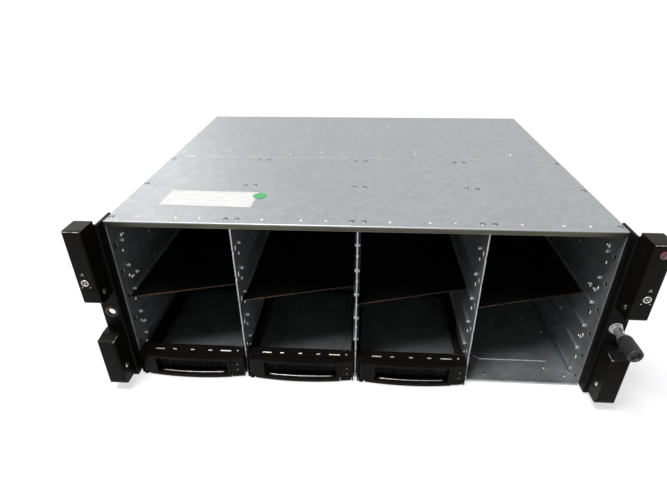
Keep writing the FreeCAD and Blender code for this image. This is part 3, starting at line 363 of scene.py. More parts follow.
def turned_metal(name, light, dark, smoothest, roughest):
    """Bare metal with soft handling marks and fine turning lines."""
    r = Recipe(name)
    tone = r.patches(light, dark, 1, 0.35, 0.7, 4, 5.0)
    rough = r.sheen(smoothest, roughest, 2.5)
    normal = r.bump(r.noise(0.25, 2.0, 0.5, r.place(scale=(0.2, 1, 0.2))), 0.006)
    return r.finish(tone, rough, normal, Metallic=1.0)


def nickel_and_painted_highlight():
    """Bright plating of rings and small fixings; on the pressed dimples it is a painted highlight."""
    return turned_metal("nickel", (0.66, 0.65, 0.62, 1), (0.50, 0.49, 0.47, 1), 0.16, 0.34)


def spring_and_painted_glint():
    """Spring metal, duller than the bright plating; on the wall dimples, lip bars and flange strips it is a
    painted highlight.
    """
    return turned_metal("spring sheet", (0.62, 0.61, 0.57, 1), (0.44, 0.43, 0.40, 1), 0.22, 0.42)


def plated_and_painted_highlight():
    """Dull plating with a soft sheen, greyed by handling; on the pad beads and the floor's front edge it is a
    painted highlight.
    """
    r = Recipe("plated steel")
    tone = r.patches((0.72, 0.72, 0.72, 1), (0.52, 0.52, 0.53, 1), 1, 0.35, 0.7, 3, 5.0)
    rough = r.sheen(0.16, 0.26, 2)
    normal = r.bump(r.noise(0.3, 2.0, 0.5, r.place(scale=(1, 0.15, 1))), 0.006)
    return r.finish(tone, rough, normal, Metallic=0.72)


def rivet_steel():
    """Dull zinc of a rivet head, darker than the sheet round it."""
    return turned_metal("rivet steel", (0.26, 0.27, 0.275, 1), (0.12, 0.125, 0.13, 1), 0.24, 0.42)


def painted_highlight_edge():
    """Pale painted highlight for the edges of a black moulding, broken by darker patches."""
    r = Recipe("painted highlight edge")
    tone = r.patches((0.78, 0.77, 0.75, 1), (0.10, 0.095, 0.09, 1), 1, 0.36, 0.62, 5, 5.0, 0.6)
    return r.finish(tone, r.sheen(0.25, 0.4, 2))


def bronze_wear_and_highlight():
    """Bare edge where paint has rubbed off; on the shelf edges the same finish is a painted highlight."""
    return turned_metal("worn edge and highlight", (0.10, 0.058, 0.038, 1), (0.022, 0.015, 0.012, 1), 0.35, 0.6)


def lens(name, tone):
    """Small lens: mottled body under a glossy skin."""
    r = Recipe(name)
    mottle = r.patches(tone, shade(tone, 0.6), 1, 0.3, 0.7, 1.5, 3.0)
    rough = r.sheen(0.08, 0.2, 2)
    return r.finish(mottle, rough, Coat_Weight=0.5, Coat_Roughness=0.05)


def red_lens():
    """Red plastic of the alarm button's rim."""
    return lens("red rim", tuple(colours().button))


def dark_lens():
    """Smoked plastic of the status lamps and the button."""
    return lens("smoked lens", (0.03, 0.032, 0.034, 1))


def clear_lens():
    """Grey plastic of the carriers' lamps."""
    return lens("clear lens", (0.30, 0.31, 0.32, 1))


def circuit_board():
    """Green solder mask over faint tracks, dusty and dark."""
    r = Recipe("circuit board")
    tracks = r.add("ShaderNodeTexBrick", Scale=120.0, offset=0.5, Mortar_Size=0.06,
                   Color1=(0.010, 0.028, 0.016, 1), Color2=(0.013, 0.034, 0.020, 1),
                   Mortar=(0.020, 0.045, 0.025, 1))
    r.join(r.place(turn=(math.pi / 2, 0, 0)), tracks.inputs["Vector"])
    rough = r.sheen(0.3, 0.5, 6)
    normal = r.bump(tracks.outputs["Fac"], 0.03)
    return r.finish(tracks.outputs["Color"], rough, normal)


def connector_plastic():
    """Glass-filled black connector body with flow marks."""
    r = Recipe("connector plastic")
    tone = r.patches((0.010, 0.010, 0.010, 1), (0.022, 0.022, 0.021, 1), 1, 0.3, 0.7, 2, 5.0)
    rough = r.sheen(0.35, 0.55, 3)
    return r.finish(tone, rough, r.bump(r.noise(0.4), 0.02))


def label_paper():
    """Matt paper with thin broken grey lines ruled along it."""
    r = Recipe("label paper")
    base = tuple(colours().label)
    tone = r.patches(base, shade(base, 0.93), 0.5, 0.3, 0.7, 1.4, 6.0, 0.7)
    tone = r.patches(tone, shade(base, 0.88), 0.25, 0.55, 0.75, 26)
    split = r.add("ShaderNodeSeparateXYZ")
    r.join(r.place(turn=(0, 0, -label_turn)), split.inputs["Vector"])
    line_pitch = 4.6 * MM
    steps = r.add("ShaderNodeMath", operation="PINGPONG")
    r.join(split.outputs["Y"], steps.inputs[0])
    steps.inputs[1].default_value = line_pitch / 2
    ink = r.spread(steps.outputs["Value"], 0.12 * MM, 0.30 * MM, 1, 0)
    broken = r.spread(r.noise(5, 2.0, 0.5, r.place(scale=(0.35, 1, 1))), 0.46, 0.54)
    tone = r.blend(r.multiply(ink, broken), tone, (0.46, 0.46, 0.48, 1))
    rough = r.sheen(0.55, 0.75, 8)
    return r.finish(tone, rough, r.bump(r.noise(0.6, 4.0), 0.01), Specular_IOR_Level=0.3)


def sticker_green():
    """Coated round sticker, a little scuffed."""
    r = Recipe("green sticker")
    base = tuple(colours().sticker)
    tone = r.patches(base, shade(base, 1.35), 0.5, 0.4, 0.75, 2, 5.0)
    rough = r.sheen(0.3, 0.5, 3)
    return r.finish(tone, rough, r.bump(r.noise(0.8), 0.01))


def white_print():
    """Thin white print on plastic, slightly rubbed."""
    r = Recipe("white print")
    rubbed = r.spread(r.noise(0.6, 4.0, 0.7), 0.35, 0.7, 0, 0.6)
    return r.finish(r.blend(rubbed, (0.42, 0.42, 0.42, 1), (0.16, 0.16, 0.16, 1)), 0.5)


# The "rubbed" finish is a painted highlight for the cap edges.
FINISHES = {
    "steel": galvanised_steel, "bay steel": inner_steel, "hem steel": hem_steel, "plastic": black_plastic,
    "paint": black_paint, "knob": knob_plastic, "nickel": nickel_and_painted_highlight, "spring": spring_and_painted_glint,
    "plated": plated_and_painted_highlight, "rivet": rivet_steel, "wear": bronze_wear_and_highlight, "rubbed": painted_highlight_edge,
    "board": circuit_board, "connector": connector_plastic, "paper": label_paper, "sticker": sticker_green,
    "print": white_print, "red": red_lens, "dark lens": dark_lens, "clear lens": clear_lens,
}
SLOT_FINISH = {
    "galvanised_steel": "steel", "black_plastic": "plastic", "black_paint": "paint", "knob_plastic": "knob",
    "bright_metal": "nickel", "contact_metal": "spring", "clear_plastic": "clear lens", "red_plastic": "red",
    "board": "board", "connector_plastic": "connector",
}
BAY_NODES = ("chassis_floor", "side_wall_left", "side_wall_right", "divider_1", "divider_2", "divider_3")
node_slots = {part["node"]: part["material_slot"] for part in frame["record"]["subparts"]}
made = {}


def finish(name):
    """The material of a finish, made when it is first asked for."""
    if name not in made:
        made[name] = FINISHES[name]()
    return made[name]


def node_finish(node):
    """Finish of a CAD node: bay steel in the bays, and elsewhere what its slot asks for."""
    return "bay steel" if node in BAY_NODES else SLOT_FINISH[node_slots[node]]


# ---- mesh helpers ----

def grid_faces(rows, columns, closed):
    """Corner numbers of the quads of a grid whose last column may meet its first."""
    last = columns if closed else columns - 1
    row, left = np.meshgrid(np.arange(rows - 1), np.arange(last), indexing="ij")
    right = (left + 1) % columns
    below = row * columns
    above = below + columns
    return np.stack([below + left, below + right, above + right, above + left], -1).reshape(-1, 4)


def linked(name, data):
    """New object in the scene."""
    item = bpy.data.objects.new(name, data)
    bpy.context.scene.collection.objects.link(item)
    return item


def dressed(name, mesh, finish_name, body, smooth_angle):
    """Piece from a mesh, shaded, with its finish, body and slot."""
    piece = linked(name, mesh)
    piece.data.materials.clear()
    piece.data.materials.append(finish(finish_name))
    piece.data.shade_smooth()
    piece.data.set_sharp_from_angle(angle=math.radians(smooth_angle))
    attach(piece, body)
    return piece


def add_piece(name, parts, finish_name, body="chassis", smooth_angle=35):
    """Object from (points, faces) pairs in metres; poles and seams are merged, normals set outwards."""
    points = [part_points.reshape(-1, 3) for part_points, _ in parts]
    starts = np.cumsum([0] + [len(block) for block in points[:-1]])
    faces = [part_faces + start for (_, part_faces), start in zip(parts, starts)]
    mesh = bpy.data.meshes.new(name)
    mesh.from_pydata(np.concatenate(points).tolist(), [], np.concatenate(faces).tolist())
    bm = bmesh.new()
    bm.from_mesh(mesh)
    bmesh.ops.remove_doubles(bm, verts=bm.verts, dist=0.0001 * MM)
    bmesh.ops.recalc_face_normals(bm, faces=bm.faces)
    bm.to_mesh(mesh)
    bm.free()
    return dressed(name, mesh, finish_name, body, smooth_angle)


def revolved(profile, place, axis, segments):
    """Surface of revolution: each (radius, along) of the profile is carried round the axis."""
    profile = np.asarray(profile, float)
    turn = np.linspace(0, 2 * np.pi, segments, endpoint=False)
    radius, along = profile[:, 0, None], profile[:, 1, None] * np.ones(segments)
    across, up = radius * np.cos(turn), radius * np.sin(turn)
    order = {"x": (along, across, up), "y": (across, along, up), "z": (across, up, along)}[axis]
    points = np.stack(order, -1) + np.asarray(place, float)
    return points, grid_faces(len(profile), segments, True)


def domes(places, radius, height, axis="z", out=1, segments=14):
    """A dome at each place: r = radius cos(a), h = height sin(a), for a from 0 to a right angle."""
    skirt = 0.3 * MM
    angle = np.linspace(0, np.pi / 2, 5)
    shell = np.column_stack([radius * np.cos(angle), height * np.sin(angle)])
    profile = np.concatenate([[(0, -skirt), (radius, -skirt)], shell]) * (1, out)
    return [revolved(profile, place, axis, segments) for place in places]


def capped(rings):
    """Shell through rings of points, closed at each end by the middle of the ring there."""
    ends = [np.broadcast_to(rings[i].mean(0), rings[i].shape)[None] for i in (0, -1)]
    return np.concatenate([ends[0], rings, ends[1]]), grid_faces(len(rings) + 2, rings.shape[1], True)


def slab(outline, low, high):
    """Flat plate: its outline in X and Y is carried from one height to the other and closed."""
    outline = np.asarray(outline, float)
    rings = [np.column_stack([outline, np.full(len(outline), z)]) for z in (high, low)]
    return capped(np.stack(rings))


def circle(middle_x, middle_y, radius):
    """Outline of a round plate in X and Y."""
    turn = np.linspace(0, 2 * np.pi, 48, endpoint=False)
    return np.column_stack([middle_x + radius * np.cos(turn), middle_y + radius * np.sin(turn)])


def rectangle(left, right, near, far):
    """Corners of a rectangle in X and Y."""
    return [(left, near), (right, near), (right, far), (left, far)]


def bar(path, radius):
    """Round bar along a path: p + radius (n cos(a) + b sin(a)), closed by a point at each end."""
    path = np.asarray(path, float)
    tangent = np.gradient(path, axis=0)
    tangent /= np.linalg.norm(tangent, axis=1)[:, None]
    aside = np.cross(tangent, (0.1, 0.2, 1.0))
    aside /= np.linalg.norm(aside, axis=1)[:, None]
    above = np.cross(tangent, aside)
    turn = np.linspace(0, 2 * np.pi, 10, endpoint=False)[None, :, None]
    ring = aside[:, None] * np.cos(turn) + above[:, None] * np.sin(turn)
    return capped(path[:, None] + radius * ring)


def softened(node, radius):
    """Copy of a CAD node with its triangles joined into flat faces and its edges rounded."""
    source, sharp_angle = nodes[node], 28
    mesh = source.data.copy()
    bm = bmesh.new()
    bm.from_mesh(mesh)
    bmesh.ops.remove_doubles(bm, verts=bm.verts, dist=0.002 * MM)
    bmesh.ops.dissolve_limit(bm, angle_limit=math.radians(0.6), verts=bm.verts, edges=bm.edges)
    bm.to_mesh(mesh)
    bm.free()
    slot_name, body = node_slots[node], source["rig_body"]
    piece = dressed(node + "_finished", mesh, node_finish(node), body, sharp_angle)
    bevel = piece.modifiers.new("rounded edges", "BEVEL")
    bevel.width = radius
    bevel.segments = 2
    bevel.limit_method = "ANGLE"
    bevel.angle_limit = math.radians(sharp_angle)
    bevel.harden_normals = True
    bevel.use_clamp_overlap = True
    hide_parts(node)


# ---- operators, one for each group of pieces ----

class SHELF_OT_finishes(bpy.types.Operator):
    """Finishes for the nodes that show as they are"""

    bl_idname = "shelf.finishes"
    bl_label = "Node finishes"

    def execute(self, context):
        for node, source in nodes.items():
            source.data.materials.clear()
            source.data.materials.append(finish(node_finish(node)))
        return {"FINISHED"}


class SHELF_OT_sheets(bpy.types.Operator):
    """Sheet metal with eased edges: floor, walls, dividers, covers, shelves and blank panels"""

    bl_idname = "shelf.sheets"
    bl_label = "Sheet metal"

    def execute(self, context):
        for node in BAY_NODES + ("top_cover_front", "top_cover_rear", "mid_shelves", "blank_panels"):
            softened(node, sizes().sheet_round)
        return {"FINISHED"}


class SHELF_OT_cover_marks(bpy.types.Operator):
    """Rivet heads, pressed dimples, seam tabs and the rolled front edge of the top covers"""

    bl_idname = "shelf.cover_marks"
    bl_label = "Cover marks"

    def execute(self, context):
        self.rivets()
        self.dimples()
        self.seam_tabs()
        self.hem()
        return {"FINISHED"}

    def rivets(self):
        """Rows of heads: a pair over each divider and one near each side."""
        head_height, row_gap, pair = 0.62 * MM, 78 * MM, 5.2 * MM
        edge = half_width - 4 * MM
        rows = [node_middle("cover_rivets", "y") + offset for offset in (-row_gap, 0, row_gap)]
        across = [x + side * pair for x in divider_x for side in (-1, 1)] + [-edge, edge]
        places = [(x, y, top_z) for y in rows for x in across]
        heads = domes(places, sizes().rivet_radius, head_height, segments=18)
        rivets = add_piece("cover_rivet_heads", heads, "rivet")
        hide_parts("cover_rivets")

    def dimples(self):
        """Dimples along the front, behind the seam, and three on their own; their bright nickel finish is a
        painted highlight on the pressed sheet.
        """
        near = [(x + offset * MM, front_y + 8 * MM) for x in bay_x for offset in (-28, 6.4, 28)]
        far = [(x + 9 * MM, seam_y + 19 * MM) for x in bay_x]
        odd = [(-148.9 * MM, seam_y + 133 * MM), (35.6 * MM, seam_y + 133 * MM), (-84 * MM, seam_y + 11 * MM)]
        places = [(x, y, top_z) for x, y in near + far + odd]
        shells = domes(places, sizes().dimple_radius, dimple_rise)
        add_piece("cover_dimples", shells, "nickel")

    def seam_tabs(self):
        """Thin tabs across the seam, the same on both sides of the middle."""
        half_tab, near, far = 6.2, seam_y - 1.6 * MM, seam_y + 0.6 * MM
        middles = [side * x for x in (19.9, 91.3, 130.3, 202) for side in (-1, 1)]
        plans = [rectangle((x - half_tab) * MM, (x + half_tab) * MM, near, far) for x in middles]
        tabs = [slab(plan, top_z - 0.1 * MM, top_z + 0.12 * MM) for plan in plans]
        add_piece("seam_tabs", tabs, "spring")

    def hem(self):
        """Rolled front edge: y = bend (1 - sin a), z = bend (cos a - 1), over a flat with a turned foot."""
        stand_off, lift, bend, foot = 0.35 * MM, 0.05 * MM, 1.2 * MM, 0.4 * MM
        drop = front_cover_high.z - front_cover_low.z
        reach = half_width - 0.4 * MM
        turn = np.linspace(0, np.pi / 2, 7)
        roll = np.column_stack([bend - bend * np.sin(turn), bend * np.cos(turn) - bend])
        section = np.concatenate([[(bend, 0)], roll, [(0, bend - drop), (foot, -drop), (bend, -drop)]])
        y = front_cover_low.y - stand_off + section[:, 0]
        z = top_z + lift + section[:, 1]
        rings = [np.column_stack([np.full(len(section), x), y, z]) for x in (-reach, reach)]
        add_piece("cover_front_hem", [capped(np.stack(rings))], "hem steel",
                  smooth_angle=50)


class SHELF_OT_labels(bpy.types.Operator):
    """Paper label with plain ruled lines and a blank round sticker on the front cover"""

    bl_idname = "shelf.labels"
    bl_label = "Label and sticker"

    def execute(self, context):
        self.label()
        self.sticker()
        return {"FINISHED"}

    def label(self):
        """Sheet turned about its middle; one corner lifts by 7.2 mm (-0.44 - u)(v + 0.1)."""
        rows, columns = 31, 13
        middle_x, middle_y = -142.5 * MM, front_y + 51.5 * MM
        u, v = np.linspace(-0.5, 0.5, rows), np.linspace(-0.5, 0.5, columns)
        across, along = np.meshgrid(u, v, indexing="ij")
        x = across * sizes().label_length
        y = along * sizes().label_width
        curl = 7.2 * MM * np.clip(-0.44 - across, 0, 1) * np.clip(along + 0.1, 0, 1)
        turned_x = middle_x + x * math.cos(label_turn) - y * math.sin(label_turn)
        turned_y = middle_y + x * math.sin(label_turn) + y * math.cos(label_turn)
        points = np.stack([turned_x, turned_y, top_z + 0.12 * MM + curl], -1)
        shell = (points, grid_faces(rows, columns, False))
        label = add_piece("paper_label", [shell], "paper")
        solid = label.modifiers.new("paper thickness", "SOLIDIFY")
        solid.thickness = 0.1 * MM
        solid.offset = -1

    def sticker(self):
        """Thin round plate beside the label."""
        outline = circle(-96.3 * MM, front_y + 58.9 * MM, sizes().dot_radius)
        add_piece("round_sticker", [slab(outline, top_z, top_z + 0.4 * MM)], "sticker")


class SHELF_OT_guides(bpy.types.Operator):
    """Dimples and rosettes on the bay walls, floor marks, bright edges and foot rivets"""

    bl_idname = "shelf.guides"
    bl_label = "Bay marks"

    def execute(self, context):
        wall_face = half_width - wall_sheet
        outer_faces = [(-wall_face, 1), (wall_face, -1)]
        self.wall_dimples(outer_faces)
        self.rosettes(outer_faces)
        self.floor_dimples()
        self.pad_beads()
        self.edges()
        self.foot_rivets()
        return {"FINISHED"}

    def wall_dimples(self, outer_faces):
        """In each row of each wall face, a large dimple in front of a small one; their bright spring finish
        is a painted highlight on the pressed sheet.
        """
        faces = outer_faces + [(x + side * divider_sheet / 2, side) for x in divider_x for side in (-1, 1)]
        heights = [floor_top + row * row_pitch + 21.7 * MM for row in range(row_count)]
        small, large = [], []
        for face, out in faces:
            deep = [(face, front_y + 75 * MM, z - 8.9 * MM) for z in heights]
            near = [(face, front_y + 18 * MM, z) for z in heights]
            small += domes(deep, sizes().dimple_radius, dimple_rise, "x", out, 12)
            large += domes(near, 2.3 * MM, 1.1 * MM, "x", out, 18)
        add_piece("wall_dimples", small + large, "spring")

    def rosettes(self, outer_faces):
        """Rosettes on the outer walls: a raised ring round a low middle."""
        ring = [(0, 0.1), (1.1, 0.15), (1.5, 0.9), (2.4, 1.0), (2.9, 0.5), (3.0, -0.3), (0, -0.3)]
        spots = ((22, 47), (22, 103), (32, 102), (65, 88), (22, 150))
        parts = []
        for face, out in outer_faces:
            profile = np.array(ring) * (MM, out * MM)
            parts += [revolved(profile, (face, front_y + y * MM, z * MM), "x", 20) for y, z in spots]
        add_piece("wall_rosettes", parts, "spring")

    def floor_dimples(self):
        """Single dimples in the floor, and a pair in the last bay; their bright nickel finish is a painted
        highlight on the pressed sheet.
        """
        spots = [(133, 11), (197.5, 23.4), (214.6, 12.5), (213.2, 82.5)]
        spots += [(-87.7, 79.6), (88.7, 79.9), (-25, 80)]
        places = [(x * MM, front_y + y * MM, floor_top) for x, y in spots]
        places += [(bay_x[3] + side * 30 * MM, front_y + 108 * MM, floor_top) for side in (-1, 1)]
        shells = domes(places, sizes().dimple_radius, dimple_rise)
        add_piece("floor_dimples", shells, "nickel")

    def pad_beads(self):
        """Bead round the front of each bay's floor pad, with its corners cut off; its bright plated finish is
        a painted highlight on the pad's edge.
        """
        pad, corner = bay_half - 14.2 * MM, 6 * MM
        start, height = front_y + 32.75 * MM, floor_top + 0.45 * MM
        right = [(pad - corner, 0), (pad, corner), (pad, 2 * corner)]
        left = [(-x, y) for x, y in reversed(right)]
        paths = [[(middle + x, start + y, height) for x, y in left + right] for middle in bay_x]
        beads = [bar(path, 0.4 * MM) for path in paths]
        add_piece("pad_beads", beads, "plated")

    def edges(self):
        """Bars along the front edges of the shelves, which slant, and of the floor: painted highlights on the
        lit edges.
        """
        radius, reach, sill = 0.55 * MM, bay_half - 0.6 * MM, half_width - 1.5 * MM
        shelf_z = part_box("mid_shelves")[1].z - 0.5 * MM
        near, far = front_y + 7.6 * MM, front_y + 39.2 * MM
        shelves = [bar([(x - reach, near, shelf_z), (x + reach, far, shelf_z)], radius) for x in bay_x]
        # Painted highlight: bronze edge line on the black shelves.
        add_piece("shelf_edges", shelves, "wear")
        # Painted reflection: plated bar along the floor's front edge.
        floor_y, floor_z = front_y + 0.45 * MM, floor_top - 0.5 * MM
        floor = bar([(-sill, floor_y, floor_z), (sill, floor_y, floor_z)], radius)
        add_piece("floor_front_edge", [floor], "plated")

    def foot_rivets(self):
        """Small rivet in the foot of each divider."""
        places = [(x, front_y - 0.05 * MM, 5.2 * MM) for x in divider_x]
        heads = domes(places, 1.5 * MM, 0.5 * MM, "y", -1)
        add_piece("divider_foot_rivets", heads, "nickel")


class SHELF_OT_ears(bpy.types.Operator):
    """Ear brackets and moulded caps, with status rings, small prints and side screws"""

    bl_idname = "shelf.ears"
    bl_label = "Rack ears"

    def execute(self, context):
        for side in ("left", "right"):
            softened("ear_bracket_" + side, sizes().sheet_round * 2)
            softened("ear_cap_upper_" + side, sizes().edge_round)
            softened("ear_cap_lower_" + side, sizes().edge_round)
        self.edges()
        self.bezels()
        self.lenses()
        self.marks()
        self.side_screws()
        self.hole_rim()
        return {"FINISHED"}

    def edges(self):
        """Pale bars along the edges of the caps, a painted highlight; the one that runs back follows z = top
        - drop (1 - t^2).
        """
        radius, inset, drop, scoop = 0.39 * MM, 0.4 * MM, 1.2 * MM, 11.5 * MM
        y = cap_face + inset
        upper, lower = cap_high.z - inset, lower_cap_top - inset
        along = np.linspace(0, 1, 9)
        edges = []
        for side in (-1, 1):
            inner, outer = side * (cap_low.x + inset), side * (cap_high.x - inset)
            edges += [bar([(inner, y, z), (outer, y, z)], radius) for z in (upper, lower - drop)]
            back = np.column_stack([np.full(9, inner), y + scoop * along, lower - drop * (1 - along ** 2)])
            edges.append(bar(back, radius))
        # Painted highlight: pale bars along the cap edges.
        add_piece("cap_highlight_edges", edges, "rubbed", smooth_angle=60)

    def bezels(self):
        """Ring round each lamp, a stud in its middle and two below it."""
        ring, tube = 2.85 * MM, 0.48 * MM
        turn = np.linspace(0, 2 * np.pi, 13)
        profile = np.column_stack([ring + tube * np.cos(turn), -0.1 * MM - tube * 0.8 * np.sin(turn)])
        parts = []
        for x in (-status_x, status_x):
            parts.append(revolved(profile, (x, cap_face, ring_z), "y", 36))
            parts += domes([(x, cap_face - 0.2 * MM, ring_z)], 0.7 * MM, 0.25 * MM, "y", -1, 12)
            studs = [(x + offset * MM, cap_face, ring_z - 4.6 * MM) for offset in (-3.6, 3.6)]
            parts += domes(studs, 0.5 * MM, 0.22 * MM, "y", -1, 12)
        rings = add_piece("status_bezels", parts, "nickel")
        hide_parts("status_rings")

    def lenses(self):
        """Low smoked lens inside each ring."""
        profile = np.array([(0, -0.30), (1.3, -0.22), (2.3, 0.1), (2.5, 1), (0, 1)]) * MM
        parts = [revolved(profile, (x, cap_face, ring_z), "y", 24) for x in (-status_x, status_x)]
        add_piece("status_lenses", parts, "dark lens")

    def marks(self):
        """Printed triangle above each ring: a thin plate on the cap's face."""
        size, rise, thickness = 2.0 * MM, 8.6 * MM, 0.06 * MM
        corner = np.radians([90, 210, 330])
        z = ring_z + rise + size * np.sin(corner)
        parts = []
        for middle in (-status_x, status_x):
            x = middle + size * np.cos(corner)
            rings = [np.column_stack([x, np.full(3, y), z]) for y in (cap_face - thickness, cap_face)]
            parts.append(capped(np.stack(rings)))
        add_piece("cap_marks", parts, "print")

    def side_screws(self):
        """Two low screw heads on the inner side of each ear."""
        head = np.array([(0, -0.9), (1.6, -0.9), (2.6, -0.4), (2.7, 0.3), (0, 0.3)])
        parts = []
        for side in (-1, 1):
            places = [(side * cap_low.x, ear_face - 11 * MM, z * MM) for z in (115.5, 27)]
            parts += [revolved(head * (MM, side * MM), place, "x", 20) for place in places]
        add_piece("cap_side_screws", parts, "nickel")

    def hole_rim(self):
        """Bare ring that wear has left round the open hole of the left ear."""
        rim = [(3.45, 0.05), (3.9, -0.12), (5.9, -0.12), (6.4, 0.02), (6.4, 0.3), (3.45, 0.3)]
        shell = revolved(np.array(rim + rim[:1]) * MM, (-screw_x, ear_face, screw_z), "y", 40)
        add_piece("worn_hole_rim", [shell], "wear")


class SHELF_OT_alarm_button(bpy.types.Operator):
    """Round alarm button with a red rim and a dark sunk middle"""

    bl_idname = "shelf.alarm_button"
    bl_label = "Alarm button"

    def execute(self, context):
        depth = (button_high.y - button_low.y) / MM
        rim = [(0.55, 0.35), (0.62, 0.02), (0.80, 0), (0.95, 0.25), (1, 0.7), (1, depth), (0, depth),
               (0, 0.6), (0.5, 0.6), (0.55, 0.35)]
        middle = [(0, 0.18), (0.35, 0.22), (0.5, 0.45), (0.5, 0.7), (0, 0.7)]
        button = add_piece("alarm_button_rim", [self.turned(rim, 40)], "red", "alarm_button")
        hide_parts("alarm_button")
        add_piece("alarm_button_middle", [self.turned(middle, 32)], "dark lens",
                  "alarm_button")
        return {"FINISHED"}

    def turned(self, rows, segments):
        """Rows of (share of the radius, millimetres behind the face), turned round the axis."""
        radius = (button_high.x - button_low.x) / 2
        place = (status_x, button_low.y, node_middle("alarm_button", "z"))
        return revolved(np.array(rows) * (radius, MM), place, "y", segments)


class SHELF_OT_thumbscrew(bpy.types.Operator):
    """Captive thumbscrew: knurled knob with a sunk end, plated shank, thread and bush"""

    bl_idname = "shelf.thumbscrew"
    bl_label = "Thumbscrew"

    def execute(self, context):
        knob_back = ear_face - 16 * MM
        bush_low, bush_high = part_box("thumbscrew_bush")
        self.knob(knob_back)
        self.shank(knob_back, bush_high.y - 1.8 * MM)
        self.sleeve(bush_low.y)
        return {"FINISHED"}

    def knob(self, knob_back):
        """Rows of (share, along, knurl) turned as r = radius (share - groove knurl (1 + cos 30a) / 2)."""
        ridges, groove = 30, 0.055
        length = (knob_back - screw_low.y) / MM
        radius = (screw_high.x - screw_low.x) / 2
        turn = np.linspace(0, 2 * np.pi, ridges * 8, endpoint=False)
        wave = 0.5 + 0.5 * np.cos(turn * ridges)
        rows = [(0, 2.2, 0), (0.56, 2.2, 0), (0.62, 0.5, 0), (0.68, 0, 0), (0.88, 0, 0), (0.96, 0.5, 0),
                (0.98, 1.2, 0.3), (1.0, 2.0, 1), (1.0, length - 2.4, 1), (0.98, length - 1.4, 0.3),
                (0.96, length - 0.6, 0), (0.88, length, 0), (0, length, 0)]
        share, along, knurl = np.array(rows).T[..., None]
        r = radius * (share - groove * knurl * wave)
        y = (screw_low.y + along * MM) * np.ones(len(turn))
        points = np.stack([screw_x + r * np.cos(turn), y, screw_z + r * np.sin(turn)], -1)
        shell = (points, grid_faces(len(rows), len(turn), True))
        knob = add_piece("thumbscrew_knob", [shell], "knob", "thumbscrew", 50)
        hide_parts("thumbscrew")

    def shank(self, knob_back, neck):
        """Collar, plain shank as far as the neck, and ridges of thread to the tip."""
        collar_r, shank_r, thread_r, pitch = 5.3 * MM, 4 * MM, 2.9 * MM, 1.0 * MM
        start = knob_back - 0.2 * MM
        collar = [(0, start), (collar_r, start), (collar_r, knob_back + 2.6 * MM)]
        plain = [(shank_r, knob_back + 3 * MM), (shank_r, neck), (thread_r, neck + 0.2 * MM)]
        starts = np.arange(neck + 0.4 * MM, screw_high.y - 0.8 * MM - pitch, pitch)
        ridge = np.array([(thread_r - 0.45 * MM, 0.25), (thread_r, 0.6), (thread_r, 0.75)]) * (1, pitch)
        thread = ridge + np.column_stack([0 * starts, starts])[:, None]
        tip = [(thread_r - 0.6 * MM, screw_high.y), (0, screw_high.y)]
        profile = np.concatenate([collar, plain, thread.reshape(-1, 2), tip])
        shank = add_piece("thumbscrew_shank", [revolved(profile, (screw_x, 0, screw_z), "y", 36)],
                          "plated", "thumbscrew", 40)
        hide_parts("thumbscrew")

    def sleeve(self, start):
        """Bush round the shank, in millimetres from its front, with a step half way."""
        wall = [(4.15, 0), (4.8, 0), (5.1, 0.35), (5.1, 2.48), (5.95, 2.52), (5.95, 4.4), (4.15, 4.4)]
        shell = revolved(np.array(wall + wall[:1]) * MM, (screw_x, start, screw_z), "y", 36)
        bush = add_piece("thumbscrew_sleeve", [shell], "plated")
        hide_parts("thumbscrew_bush")


